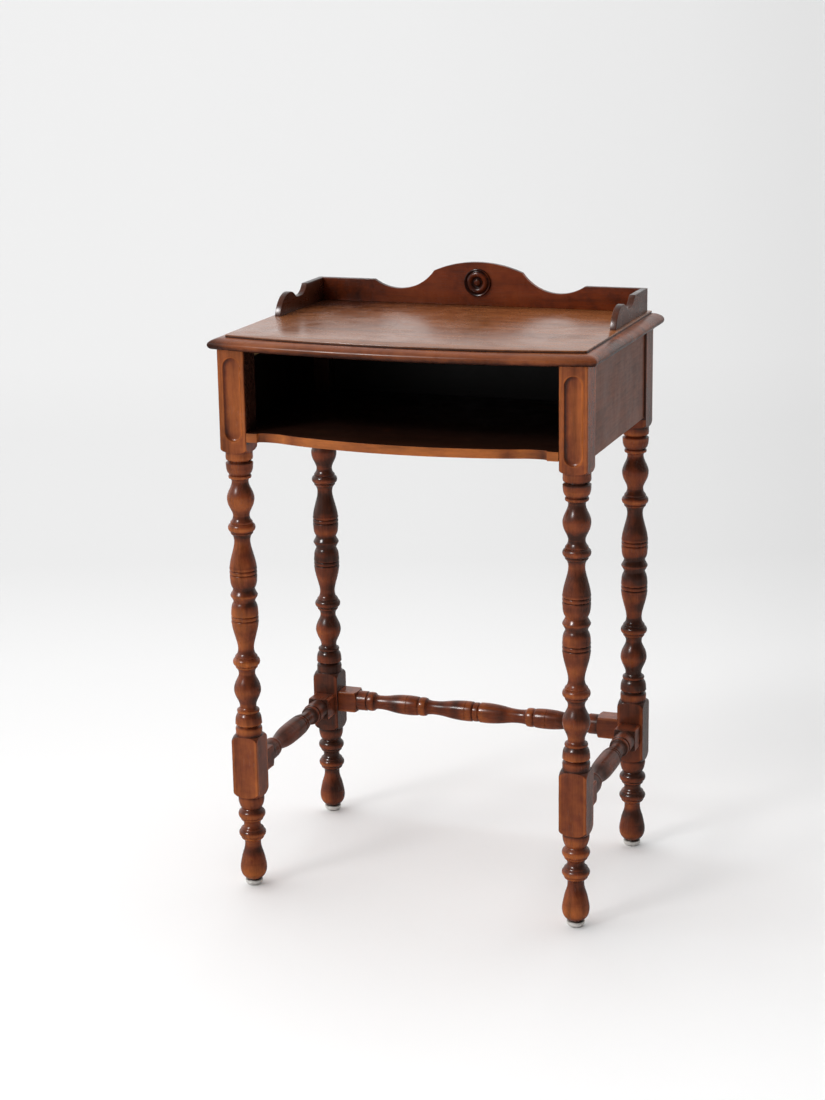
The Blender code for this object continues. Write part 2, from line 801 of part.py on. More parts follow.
def screw_outline(play):
    """Outline of a screw from its head up to its point, grown all round by the play."""
    head_low = frame_top - CLEAT_SIZE + SCREW_SINK
    head = SCREW_HEAD_DIAMETER / 2 + play
    shank = SCREW_SHANK_DIAMETER / 2 + play
    return [
        (head_low, head),
        (head_low + SCREW_HEAD_HEIGHT + play, shank),
        (top_underside + SCREW_IN_TOP * SCREW_STRAIGHT_SHARE, shank),
        (top_underside + SCREW_IN_TOP + play, shank * SCREW_POINT_SHARE),
    ]


def screw_bore(x, y):
    outline = screw_outline(GAP)
    below = (outline[0][0] - OVERRUN, outline[0][1])
    return turned("screw_bore", [below, *outline], SMALL_FACETS, (x, y, 0))


def top_board(material):
    rings = []
    for reach, height in mould_profile():
        rings.append([(x, y, height) for x, y in top_outline(reach)])
    solid = loft("top_board", rings)
    cuts = [dowel_bore(side * leg_x, y) for side in SIDES.values() for y in (leg_front_y, leg_back_y)]
    cuts += [screw_bore(x, y) for _, x, y in screw_places()]
    cuts.append(groove_for(gallery_tongue("back")))
    cuts += [groove_for(mirrored(gallery_tongue("side"), side)) for side in SIDES.values()]
    combine(solid, "DIFFERENCE", *cuts)
    complete(solid, material)


def dowel(end, hand, material):
    x = SIDES[hand] * leg_x
    y = leg_front_y if end == "front" else leg_back_y
    radius = DOWEL_DIAMETER / 2
    outline = [(frame_top - DOWEL_IN_POST, radius), (top_underside + dowel_in_top, radius)]
    solid = turned(f"dowel_{end}_{hand}", outline, SMALL_FACETS, (x, y, 0))
    complete(solid, material)


def cleat(hand, material):
    side = SIDES[hand]
    outer = side_panel_inner_x - GAP
    box = (
        (outer - CLEAT_SIZE, bay_front_y + CLEAT_INSET, frame_top - CLEAT_SIZE),
        (outer, bay_back_y - CLEAT_INSET, frame_top),
    )
    solid = block(f"top_cleat_{hand}", mirrored(box, side))
    bores = [screw_bore(x, y) for name, x, y in screw_places() if hand in name]
    combine(solid, "DIFFERENCE", *bores)
    complete(solid, material)


def screws(material):
    for name, x, y in screw_places():
        complete(turned(name, screw_outline(0), SMALL_FACETS, (x, y, 0)), material)


# Galleries


def arc_points(start, end, bend, steps):
    """Points after start on the arc to end, whose rise over its chord is bend, left of the way."""
    if not bend:
        return [end]
    half_angle = 2 * math.atan(2 * abs(bend))
    chord = math.dist(start, end)
    radius = chord / (2 * math.sin(half_angle))
    along = ((end[0] - start[0]) / chord, (end[1] - start[1]) / chord)
    left = (-along[1] * math.copysign(1, bend), along[0] * math.copysign(1, bend))
    points = []
    for i in range(1, steps):
        angle = half_angle * (2 * i / steps - 1)
        way = chord / 2 + radius * math.sin(angle)
        rise = radius * (math.cos(angle) - math.cos(half_angle))
        points.append([start[k] + along[k] * way + left[k] * rise for k in (0, 1)])
    return points + [end]


def gallery_outline(shares, length, height):
    """Upper outline of a gallery board, along its length and up from its base."""
    places = [(along * length, up * height) for along, up, _ in shares]
    points = [places[0]]
    for start, end, (_, _, bend) in zip(places, places[1:], shares[1:]):
        steps = ARC_STEPS if abs(bend) > DEEP_BEND_SHARE else ARC_STEPS // 2
        points += arc_points(start, end, bend, steps)
    return points


def rosette_bore():
    y0 = gallery_back_y - GALLERY_THICKNESS
    radius = SPIGOT_DIAMETER / 2 + GAP
    outline = [(y0 - OVERRUN, radius), (y0 + SPIGOT_LENGTH + GAP, radius)]
    return turned("rosette_bore", outline, ROUND_FACETS, (0, 0, rosette_height), "Y")


def back_gallery(material):
    rings = []
    for y, reach in (
        (gallery_back_y - GALLERY_THICKNESS, gallery_half - GALLERY_THICKNESS),
        (gallery_back_y, gallery_half),
    ):
        upper = gallery_outline(HALF_BACK_GALLERY_SHARES, gallery_half, crown_top - gallery_base)
        half = [(reach, 0), (reach, upper[0][1]), *upper[1:]]
        whole = half + [(-x, z) for x, z in reversed(half[:-1])]
        rings.append([(x, y, gallery_base + z) for x, z in whole])
    solid = loft("back_gallery", rings)
    combine(solid, "UNION", block("tongue", gallery_tongue("back")))
    combine(solid, "DIFFERENCE", rosette_bore())
    complete(solid, material)


def side_gallery(hand, material):
    side = SIDES[hand]
    front = gallery_back_y - SIDE_GALLERY_LENGTH
    upper = gallery_outline(
        SIDE_GALLERY_SHARES, SIDE_GALLERY_LENGTH, GALLERY_HEIGHT - gallery_base + SURFACE_HEIGHT
    )
    rings = []
    mitre_gap = GAP * math.sqrt(2)
    for x, back in (
        (gallery_half - GALLERY_THICKNESS, SIDE_GALLERY_LENGTH - GALLERY_THICKNESS - mitre_gap),
        (gallery_half, SIDE_GALLERY_LENGTH - mitre_gap),
    ):
        outline = [*upper[:-1], (back, upper[-1][1]), (back, 0)]
        rings.append([(side * x, front + y, gallery_base + z) for y, z in outline])
    solid = loft(f"side_gallery_{hand}", rings)
    combine(solid, "UNION", block("tongue", mirrored(gallery_tongue("side"), side)))
    complete(solid, material)


def rosette(material):
    face = gallery_back_y - GALLERY_THICKNESS - GAP
    radius = ROSETTE_DIAMETER / 2
    spigot = SPIGOT_DIAMETER / 2
    outline = [(face + GAP + SPIGOT_LENGTH, spigot), (face, spigot)]
    outline += [(face - up * ROSETTE_THICKNESS, share * radius) for share, up in ROSETTE_SHARES]
    solid = turned("rosette", outline, ROUND_FACETS, (0, 0, rosette_height), "Y")
    complete(solid, material)


# The whole stand


def build():
    for old in list(bpy.data.objects):
        bpy.data.objects.remove(old)
    materials = make_materials()
    top_board(materials["top"])
    back_gallery(materials["gallery"])
    rosette(materials["gallery"])
    back_panel(materials["panel"])
    shelf(materials["shelf"])
    stretchers(materials["stretcher"])
    for hand in SIDES:
        side_gallery(hand, materials["gallery"])
        side_panel(hand, materials["panel"])
        cleat(hand, materials["hidden"])
        for end in ("front", "back"):
            leg(end, hand, materials["leg"])
            glide(end, hand, materials["glide"])
            dowel(end, hand, materials["hidden"])
    screws(materials["screw"])


build()
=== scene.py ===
"""Looks of the telephone stand: turned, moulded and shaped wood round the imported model, in a studio."""

import math

import bmesh
import bpy
from mathutils import Matrix, Vector


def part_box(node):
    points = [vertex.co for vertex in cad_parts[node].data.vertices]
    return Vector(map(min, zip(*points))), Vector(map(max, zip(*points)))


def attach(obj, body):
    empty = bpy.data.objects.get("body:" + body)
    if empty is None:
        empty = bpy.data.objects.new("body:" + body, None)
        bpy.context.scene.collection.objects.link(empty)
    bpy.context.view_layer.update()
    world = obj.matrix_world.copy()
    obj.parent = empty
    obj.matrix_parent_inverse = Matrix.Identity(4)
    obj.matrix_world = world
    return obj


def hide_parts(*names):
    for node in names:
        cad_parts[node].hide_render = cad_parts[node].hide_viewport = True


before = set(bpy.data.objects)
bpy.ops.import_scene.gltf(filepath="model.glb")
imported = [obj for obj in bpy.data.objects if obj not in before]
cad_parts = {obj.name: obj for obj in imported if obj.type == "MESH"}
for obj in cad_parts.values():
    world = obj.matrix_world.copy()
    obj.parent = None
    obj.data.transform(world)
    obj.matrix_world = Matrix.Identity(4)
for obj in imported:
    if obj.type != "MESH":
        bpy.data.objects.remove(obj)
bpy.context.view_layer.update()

MM = 0.001
HANDS = {"left": -1, "right": 1}

# Directions in the photograph's view, as seen from above the stand
BACKWARD = (-0.342, 0.940, 0)
LEFTWARD = (-0.940, -0.342, 0)


# Turned outlines in millimetres. A leg's are runs of (distance, diameter), each one smooth curve,
# that meet at sharp corners. The shaft's start at its middle, and the foot's at the floor.

HALF_SHAFT = [
    [(0, 36.7), (1.0, 36.1), (4.0, 32.9), (7.0, 29.8), (8.3, 29.1)],
    [(8.3, 29.1), (9.4, 29.6), (12.0, 32.2), (14.5, 34.0), (18.0, 35.4), (22.0, 36.0), (26.5, 36.6),
     (27.8, 36.5)],
    [(27.8, 36.5), (28.1, 36.1), (28.8, 33.8), (29.5, 36.0), (29.9, 36.4)],
    [(29.9, 36.4), (31.6, 36.7), (33.3, 36.4)],
    [(33.3, 36.4), (33.7, 36.0), (34.4, 33.8), (35.1, 36.0), (35.4, 36.4)],
    [(35.4, 36.4), (37.2, 36.7), (39.2, 36.0), (43.0, 35.0), (48.0, 33.0), (52.0, 31.0), (56.0, 28.9),
     (60.0, 26.7), (64.0, 24.6), (68.0, 22.8), (71.0, 21.9), (74.5, 21.4), (77.0, 21.9), (79.5, 22.9),
     (81.2, 24.1), (82.4, 25.6), (83.6, 27.7), (84.4, 29.0)],
    [(84.4, 29.3), (85.6, 30.3), (86.8, 29.7)],
    [(86.8, 29.3), (87.6, 31.6), (88.6, 33.8), (90.0, 35.5), (91.5, 36.4), (92.8, 36.6), (94.4, 36.2),
     (96.0, 35.0), (97.2, 33.0), (98.1, 30.4), (98.4, 29.2)],
    [(98.4, 29.2), (99.6, 30.0), (100.9, 29.4)],
    [(100.9, 28.9), (102.4, 26.7), (104.0, 24.5), (106.0, 22.9), (108.5, 22.1), (110.5, 22.2),
     (112.0, 22.9), (114.0, 24.3), (117.0, 27.1), (120.0, 30.1), (123.0, 32.8), (126.0, 34.7),
     (129.0, 35.9), (132.3, 36.4), (134.5, 36.1), (137.0, 34.9), (140.0, 33.0), (143.0, 30.5),
     (146.0, 27.6), (149.0, 25.0), (152.0, 23.0), (155.0, 22.2), (157.0, 22.6), (158.6, 24.5),
     (159.8, 27.4)],
    [(159.9, 29.4), (161.8, 30.6), (163.6, 29.8)],
    [(163.6, 29.4), (164.5, 27.2), (165.3, 28.4)],
    [(165.3, 28.4), (167.0, 31.2), (169.0, 33.2), (172.0, 34.9), (175.0, 35.6), (178.0, 36.0),
     (180.3, 36.2)],
    [(180.3, 36.2), (181.0, 34.6), (182.7, 29.6), (184.6, 34.0), (185.2, 35.0)],
    [(185.2, 35.2), (187.8, 36.2), (190.5, 35.8), (193.0, 35.9), (196.0, 36.0)],
]
FOOT = [
    [(7.8, 20.6), (9.2, 22.6), (11.2, 26.2), (13.5, 30.2), (16.5, 33.4), (20.0, 35.4), (24.5, 36.4),
     (28.5, 35.9), (34.0, 34.0), (39.0, 31.9), (43.0, 30.1), (47.0, 27.7), (51.0, 25.0), (55.0, 23.0),
     (58.5, 22.1), (61.5, 21.9), (63.5, 22.5), (65.2, 24.2), (66.4, 26.7), (67.3, 29.0)],
    [(67.3, 29.6), (68.6, 31.2), (69.9, 30.8)],
    [(69.9, 30.8), (71.6, 33.9), (73.4, 36.0), (75.7, 36.8), (77.8, 36.1), (79.4, 33.8), (80.7, 31.0)],
    [(80.7, 30.9), (81.9, 31.2), (82.9, 30.0)],
    [(82.9, 29.2), (84.0, 26.8), (85.6, 24.2), (87.8, 22.9), (90.0, 23.2), (92.0, 24.7), (93.6, 27.2),
     (94.5, 29.0)],
    [(94.5, 29.6), (95.8, 30.8), (97.0, 30.4)],
    [(97.0, 30.4), (98.4, 33.4), (100.4, 35.8), (103.0, 36.8), (105.6, 36.0), (107.6, 33.7),
     (109.2, 30.4), (110.1, 28.4)],
    [(110.1, 28.2), (111.2, 27.0), (112.4, 27.9)],
    [(112.4, 28.4), (115.0, 30.9), (118.5, 33.3), (122.5, 35.0), (125.8, 35.5), (128.0, 35.0),
     (130.0, 34.0)],
]

# A stretcher's are stations: distance and diameter, and the curve that comes to that point

HALF_BACK_RAIL = [
    (0, 27.9, "start"),
    (2.9, 27.6, "straight"),
    (4.55, 24.9, "straight"),
    (6.2, 28.6, "straight"),
    (14.0, 29.4, "bead"),
    (65.0, 19.9, "sweep"),
    (76.1, 24.6, "cove"),
    (82.4, 27.4, "bead"),
    (87.0, 25.0, "bead"),
    (88.5, 26.2, "straight"),
    (103.6, 28.8, "bead"),
    (104.8, 28.8, "straight"),
    (105.3, 27.7, "straight"),
    (105.8, 28.7, "straight"),
    (149.1, 20.2, "sweep"),
    (156.0, 24.8, "cove"),
    (161.4, 28.0, "bead"),
    (167.1, 25.5, "bead"),
    (168.5, 28.8, "straight"),
    (182.0, 28.8, "straight"),
]
HALF_SIDE_RAIL = [
    (0, 29.1, "start"),
    (14.8, 28.8, "bead"),
    (60.0, 19.6, "sweep"),
    (66.5, 24.0, "cove"),
    (70.0, 27.2, "bead"),
    (74.1, 24.8, "bead"),
    (75.6, 28.8, "straight"),
    (98.8, 28.8, "straight"),
]

# The rosette's outline is (radius, rise from its back), and a glide's is (radius, height)

ROSETTE = [
    (19.0, 0.0),
    (19.0, 2.5),
    (18.6, 3.1),
    (17.9, 3.4),
    (17.1, 3.1),
    (16.5, 2.5),
    (15.9, 2.0),
    (15.3, 2.3),
    (14.4, 3.6),
    (13.2, 4.5),
    (11.8, 4.95),
    (10.4, 4.9),
    (9.0, 4.3),
    (7.8, 3.2),
    (7.0, 2.2),
    (6.3, 1.8),
    (5.5, 2.0),
    (4.9, 2.9),
    (4.1, 3.8),
    (2.9, 4.3),
    (1.5, 4.55),
    (0.4, 4.6),
]
GLIDE = [
    (3.0, 0.0),
    (7.3, 0.0),
    (8.6, 0.35),
    (9.9, 1.1),
    (10.9, 2.0),
    (11.5, 2.9),
    (11.75, 3.8),
    (11.75, 6.9),
    (11.55, 7.3),
    (11.2, 7.5),
    (3.0, 7.5),
]

# Outlines of boards: shares of the length and the height, and the bend of the arc to that point
HALF_BACK_GALLERY = [(1, 0.529, 0), (0.641, 0.529, 0), (0.268, 0.782, 0.205), (0, 1, -0.0504)]
SIDE_GALLERY = [
    (0, 0, 0),
    (0.248, 0.889, 0.19),
    (0.340, 0.650, 0.07),
    (0.382, 0.587, -0.08),
    (0.473, 0.587, 0),
    (0.588, 1, -0.11),
    (1, 1, 0),
]

# The shelf's front edge: shares of the way from its middle to a post, and of its bow beyond the posts
HALF_SHELF_FRONT = [
    (0, 1),
    (0.17, 0.95),
    (0.31, 0.80),
    (0.44, 0.61),
    (0.57, 0.36),
    (0.66, 0.13),
    (0.74, -0.14),
    (0.79, -0.31),
    (0.84, -0.40),
    (0.89, -0.39),
    (0.925, -0.28),
]

# How light the shelf's edge is, at shares of the way from its middle to a post, with painted highlights
# and painted shade along its bow and hollows
SHELF_EDGE_TONES = [
    (0, 0.72),
    (0.62, 0.73),
    (0.69, 0.50),
    (0.76, 0.84),
    (0.83, 0.62),
    (0.89, 0.42),
    (0.926, 0.50),
    (0.93, 0.84),
]

# How pale the floor is: at shares of the way from 1 m in front of the stand to 4 m behind it, and at
# shares of the way across the view from the right
FLOOR_DEPTHS = [
    (0.06, 0.99),
    (0.22, 0.93),
    (0.30, 0.87),
    (0.39, 0.83),
    (0.475, 0.772),
    (0.53, 0.738),
    (0.80, 0.737),
    (1, 0.762),
]
FLOOR_SIDES = [
    (0.10, 0.87),
    (0.267, 0.925),
    (0.667, 0.985),
    (1, 1),
]


# Meshes

SHARP_ANGLE = 35
PLAIN_TONE = 0.5


def add_tones(mesh, tones):
    """Gives each point of a mesh its tone, from 0 where it is darkest to 1 where it is palest.

    Wear and polish set it, and so do painted shade and light.
    """
    layer = mesh.attributes.new("tone", "FLOAT", "POINT")
    layer.data.foreach_set("value", tones)


def make(name, points, faces, tones=None, sharp=SHARP_ANGLE):
    """A mesh object from points in metres, its normals outward."""
    mesh = bpy.data.meshes.new(name)
    mesh.from_pydata(points, [], faces)
    shape = bmesh.new()
    shape.from_mesh(mesh)
    bmesh.ops.recalc_face_normals(shape, faces=shape.faces)
    shape.to_mesh(mesh)
    shape.free()
    add_tones(mesh, tones or [PLAIN_TONE] * len(points))
    mesh.shade_smooth()
    mesh.set_sharp_from_angle(angle=math.radians(sharp))
    piece = bpy.data.objects.new(name, mesh)
    bpy.context.scene.collection.objects.link(piece)
    return piece


def lofted(name, rings, tones=None, sharp=SHARP_ANGLE):
    """A closed mesh through rings that have the same number of points."""
    count = len(rings[0])
    points = [point for ring in rings for point in ring]
    faces = []
    for k in range(len(rings) - 1):
        for i in range(count):
            j = (i + 1) % count
            faces.append((k * count + i, k * count + j, (k + 1) * count + j, (k + 1) * count + i))
    faces.append(list(range(count)))
    faces.append(list(range(len(points) - count, len(points))))
    flat = [tone for row in tones for tone in row] if tones else None
    return make(name, points, faces, flat, sharp)


def ease(piece, width):
    """Rounds the sharp edges of a piece."""
    least_angle = math.radians(30)
    shape = bmesh.new()
    shape.from_mesh(piece.data)
    edges = [edge for edge in shape.edges if edge.calc_face_angle(0) > least_angle]
    bmesh.ops.bevel(
        shape, geom=edges, offset=width, segments=3, profile=0.6, affect="EDGES", clamp_overlap=True
    )
    shape.to_mesh(piece.data)
    shape.free()
    piece.data.shade_smooth()
    piece.data.set_sharp_from_angle(angle=math.radians(SHARP_ANGLE))


def clamp(value, low=0, high=1):
    return max(low, min(high, value))


def between(table, place):
    """The value at a place in a table of (place, value)."""
    for (start, low), (end, high) in zip(table, table[1:]):
        if place <= end:
            return low + (high - low) * max(0, place - start) / (end - start)
    return table[-1][1]


# Turned outlines

CURVE_STEPS = {"straight": 1, "bead": 10, "cove": 9, "sweep": 24}


def sweep_share(way):
    """How far a sweep has widened at a share of its way, hollow at first and full at the end."""
    hollow = 0.4
    if way < hollow:
        return way**2 / hollow
    return 1 - (1 - way) ** 2 / (1 - hollow)


def outline(table):
    """(distance, radius) in metres through a table of turned stations."""
    points = [(0.0, table[0][1] / 2 * MM)]
    for (start, width, _), (end, wide, curve) in zip(table, table[1:]):
        rising = wide > width
        steps = CURVE_STEPS[curve]
        for i in range(1, steps + 1):
            share = i / steps
            turn = share * math.pi / 2
            if curve == "straight":
                along, change = share, share
            elif curve == "sweep":
                along, change = share, sweep_share(share) if rising else 1 - sweep_share(1 - share)
            elif (curve == "bead") == rising:
                along, change = 1 - math.cos(turn), math.sin(turn)
            else:
                along, change = math.sin(turn), 1 - math.cos(turn)
            distance = start + (end - start) * along
            diameter = width + (wide - width) * change
            points.append((distance * MM, diameter / 2 * MM))
    return points


def through(run):
    """Points in metres on the smooth curve through a run, which never swells past its stations."""
    spacing = 1.2
    places = [place for place, _ in run]
    widths = [width for _, width in run]
    rates = [(b - a) / (q - p) for p, q, a, b in zip(places, places[1:], widths, widths[1:])]
    slopes = [rates[0]]
    slopes += [2 * a * b / (a + b) if a * b > 0 else 0 for a, b in zip(rates, rates[1:])]
    slopes.append(rates[-1])
    points = [(places[0] * MM, widths[0] / 2 * MM)]
    for k in range(len(run) - 1):
        reach = places[k + 1] - places[k]
        steps = max(1, round(reach / spacing))
        for i in range(1, steps + 1):
            t = i / steps
            rise = t * t * (3 - 2 * t)
            width = widths[k] * (1 - rise) + widths[k + 1] * rise
            width += reach * (slopes[k] * t * (1 - t) ** 2 - slopes[k + 1] * t * t * (1 - t))
            points.append(((places[k] + reach * t) * MM, width / 2 * MM))
    return points


def runs(table):
    """The outline through all the runs of a table, with a narrow ledge where two runs end apart."""
    ledge = 0.00005
    same = 0.00002
    points = through(table[0])
    for run in table[1:]:
        more = through(run)
        first = more[0]
        if first[0] <= points[-1][0]:
            first = (points[-1][0] + ledge, first[1])
        points += [first, *more[1:]] if abs(first[1] - points[-1][1]) > same else more[1:]
    return points


def both_ways(half, middle):
    """The whole outline about a middle, from the half that starts there."""
    lower = [(middle - distance, radius) for distance, radius in reversed(half[1:])]
    return lower + [(middle + distance, radius) for distance, radius in half]


def shoulder(start, height, radius, clear):
    """Outline from a turned end at start out to the radius that clears a square length's corners."""
    steps = 16
    points = []
    for i in range(1, steps + 1):
        turn = i / steps * math.pi / 2
        points.append((start + height * (1 - math.cos(turn)), radius + (clear - radius) * math.sin(turn)))
    return points


# Square bars and discs

# A bar's corners are all nearer its axis than this share of its size
CLEAR_SHARE = 0.735
ARRIS_RADIUS = 0.0014
SHOULDER_BLEND = 0.0007


def soft_least(a, b, blend):
    """The lesser of two lengths, rounded off where they are within a blend of each other."""
    near = max(blend - abs(a - b), 0) / blend
    return min(a, b) - near * near * blend / 4


def square_reach(angle, half, ease_radius):
    """Distance from the axis to the side of a square with rounded arrises, at an angle."""
    c, s = abs(math.cos(angle)), abs(math.sin(angle))
    if c < s:
        c, s = s, c
    flat = half - ease_radius
    if half * s / c <= flat:
        return half / c
    along = flat * (c + s)
    return along + math.sqrt(max(along**2 - 2 * flat**2 + ease_radius**2, 0))


def face_marks(spacing):
    """Marks across one face of a square, from -1 to 1, close together at its arrises."""
    flat = 0.84
    count = round(flat / spacing)
    middle = [i / count * flat for i in range(-count, count + 1)]
    edge = [0.88, 0.91, 0.935, 0.955, 0.975, 0.99]
    return [-mark for mark in reversed(edge)] + middle + edge + [1.0]


def angles_round(spacings):
    """Angles round a square bar, with a spacing for each of its right, back, left and front faces."""
    angles = []
    for side, spacing in enumerate(spacings):
        angles += [side * math.pi / 2 + math.atan(mark) for mark in face_marks(spacing)]
    return angles


def spot(axis, place, distance, a, b):
    """The point at a distance along an axis through a place, and at a and b across it."""
    steps = {"X": (distance, a, b), "Y": (b, distance, a), "Z": (a, b, distance)}[axis]
    return tuple(start + step for start, step in zip(place, steps))


def tones_of(rows, upward_shade):
    """A tone for each row: dark in a groove and a little paler on a bulge, partly painted shade and light.

    A row that faces up is darker by up to the given share, as painted shade, and one that faces down is a
    little paler, as painted light from the floor.
    """
    bulge_reach, groove_reach = 0.008, 0.0022
    least_bulge, full_bulge = 0.0003, 0.006
    plain, bulge_gain, darkest = 0.565, 0.26, 0.36
    groove_depth, groove_most = 0.0045, 0.22
    slope_gain, palest_slope = 1.6, 0.35
    tones = []
    for k, (distance, radius) in enumerate(rows):
        near = [other for at, other in rows if abs(at - distance) < bulge_reach]
        most, least = max(near), min(near)
        spread = most - least
        share = (radius - least) / spread if spread > least_bulge else 0.6
        close = [other for at, other in rows if abs(at - distance) < groove_reach]
        hollow = max(close) - radius
        before, after = rows[max(k - 2, 0)], rows[min(k + 2, len(rows) - 1)]
        slope = (after[1] - before[1]) / max(after[0] - before[0], 0.0001)
        tone = plain + (share - 0.5) * bulge_gain * min(spread / full_bulge, 1)
        tone -= min(hollow / groove_depth, groove_most)
        # Painted shade on a row that faces up, and painted light from the floor on one that faces down
        tones.append(max(darkest, tone + upward_shade * clamp(slope * slope_gain, -1, palest_slope)))
    return tones


def bands(distance, phase):
    """How stain comes and goes along a turned piece, in broad bands that vary and in narrow ones."""
    broad, varying, narrow = 0.0071, 0.0173, 0.0037
    broad_depth, narrow_depth = 0.11, 0.05
    long = math.sin(distance / broad + phase) * math.sin(distance / varying + 2 * phase)
    return broad_depth * long + narrow_depth * math.sin(distance / narrow + 3 * phase)


def away_from_window(a, b):
    """How far a spot on a leg is round on the side away from the window, from 0 to 1, where shade is
    painted.
    """
    start, span = -0.3, 0.9
    rightward = -(LEFTWARD[0] * a + LEFTWARD[1] * b) / math.hypot(a, b)
    return clamp((rightward - start) / span)


def bar(
    name,
    rows,
    size,
    axis,
    place,
    spacings,
    sink=None,
    stain_and_shade=None,
    upward_shade=0.0,
    side_shade=0.0,
    phase=None,
    window_shaded=False,
):
    """A square bar turned down to rows of (distance, radius) wherever these are inside it.

    Its arrises are rubbed pale, and its shoulders carry painted shade. A stain, with any painted shade and
    light, adds to the tone along it; painted shade, as much as asked, darkens its left and right faces; a
    phase adds bands where it is turned; and a sink moves and shades single points. Where asked, a turned
    length carries painted shade on its side away from the window, and a little painted light toward it.
    """
    half = size / 2
    arris_start = half * 1.27
    side_start = half * 0.97
    shoulder_margin = 0.0004
    # Arrises are rubbed pale by wear; shoulders carry painted shade
    rubbed, shoulder_shade = 0.16, -0.20
    # Painted light on the side toward the window, and painted shade on the side away from it
    toward, away = 0.03, 0.16
    angles = angles_round(spacings)
    reaches = [square_reach(angle, half, ARRIS_RADIUS) for angle in angles]
    tones = tones_of([(d, min(r, half)) for d, r in rows], upward_shade)
    rings = []
    shades = []
    for (distance, radius), tone in zip(rows, tones):
        ring = []
        shade = []
        turned = radius < half
        tone += stain_and_shade(distance) if stain_and_shade else 0
        if phase is not None and turned:
            tone += bands(distance, phase)
        for angle, reach in zip(angles, reaches):
            r = soft_least(radius, reach, SHOULDER_BLEND)
            a, b = r * math.cos(angle), r * math.sin(angle)
            wear_and_shade = rubbed if r > arris_start else 0.0
            # Painted shade on the shoulders and on the left and right faces
            if half < radius < reach - shoulder_margin:
                wear_and_shade = shoulder_shade
            elif abs(a) > side_start:
                wear_and_shade -= side_shade
            if window_shaded and turned:
                wear_and_shade += toward - away * away_from_window(a, b)
            if sink:
                a, b, wear_and_shade = sink(a, b, distance, wear_and_shade)
            ring.append(spot(axis, place, distance, a, b))
            shade.append(tone + wear_and_shade)
        rings.append(ring)
        shades.append(shade)
    return lofted(name, rings, shades)


def disc(name, rows, tones, axis, place, count=96):
    """A turned piece through (distance, radius) rows."""
    rings = []
    for distance, radius in rows:
        ring = []
        for i in range(count):
            angle = math.tau * i / count
            ring.append(spot(axis, place, distance, radius * math.cos(angle), radius * math.sin(angle)))
        rings.append(ring)
    return lofted(name, rings, [[tone] * count for tone in tones])


# Outlines of the galleries and the shelf


def arc_points(start, end, bend, length):
    """Points about a length apart on the arc from start to end, whose rise is bend times its chord."""
    if not bend:
        return [end]
    half_angle = 2 * math.atan(2 * abs(bend))
    chord = math.dist(start, end)
    radius = chord / (2 * math.sin(half_angle))
    steps = max(4, round(chord / length))
    along = ((end[0] - start[0]) / chord, (end[1] - start[1]) / chord)
    side = math.copysign(1, bend)
    left = (-along[1] * side, along[0] * side)
    points = []
    for i in range(1, steps):
        angle = half_angle * (2 * i / steps - 1)
        way = chord / 2 + radius * math.sin(angle)
        rise = radius * (math.cos(angle) - math.cos(half_angle))
        x = start[0] + along[0] * way + left[0] * rise
        y = start[1] + along[1] * way + left[1] * rise
        points.append((x, y))
    return points + [end]


def gallery_outline(table, length, height):
    """A board's outline at its real length and height."""
    spacing = 0.002
    places = [(along * length, up * height) for along, up, _ in table]
    points = [places[0]]
    for start, end, (_, _, bend) in zip(places, places[1:], table[1:]):
        points += arc_points(start, end, bend, spacing)
    return points


def spline(a, b, c, d, t):
    """A coordinate at a share t of the way from b to c, on the smooth curve through a, b, c and d."""
    square = (2 * a - 5 * b + 4 * c - d) * t * t
    cube = (3 * b - a - 3 * c + d) * t**3
    return 0.5 * (2 * b + (c - a) * t + square + cube)


# Places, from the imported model

LEG_LOW, LEG_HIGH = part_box("leg_front_right")
BACK_LEG_LOW, BACK_LEG_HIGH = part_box("leg_back_right")
TOP_LOW, TOP_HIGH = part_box("top_board")
SHELF_LOW, SHELF_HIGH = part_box("shelf")
LEG_SIZE = LEG_HIGH.x - LEG_LOW.x
LEG_X = (LEG_LOW.x + LEG_HIGH.x) / 2
FRONT_Y = (LEG_LOW.y + LEG_HIGH.y) / 2
BACK_Y = (BACK_LEG_LOW.y + BACK_LEG_HIGH.y) / 2
INNER_X = LEG_LOW.x
BAY_FRONT = LEG_HIGH.y
BAY_BACK = BACK_LEG_LOW.y

# Up a leg: where its foot starts and ends, its block ends, and its post starts, is square and ends
FOOT_END = LEG_LOW.z
FOOT_HEIGHT = 0.130
BLOCK_TOP = 0.217
POST_FOOT = 0.609
POST_SQUARE = POST_FOOT + 0.012
POST_TOP = LEG_HIGH.z

SURFACE = TOP_HIGH.z
RAIL_SIZE = 0.030
FIT_GAP = 0.0003
END_EASE = 0.0004


# Legs


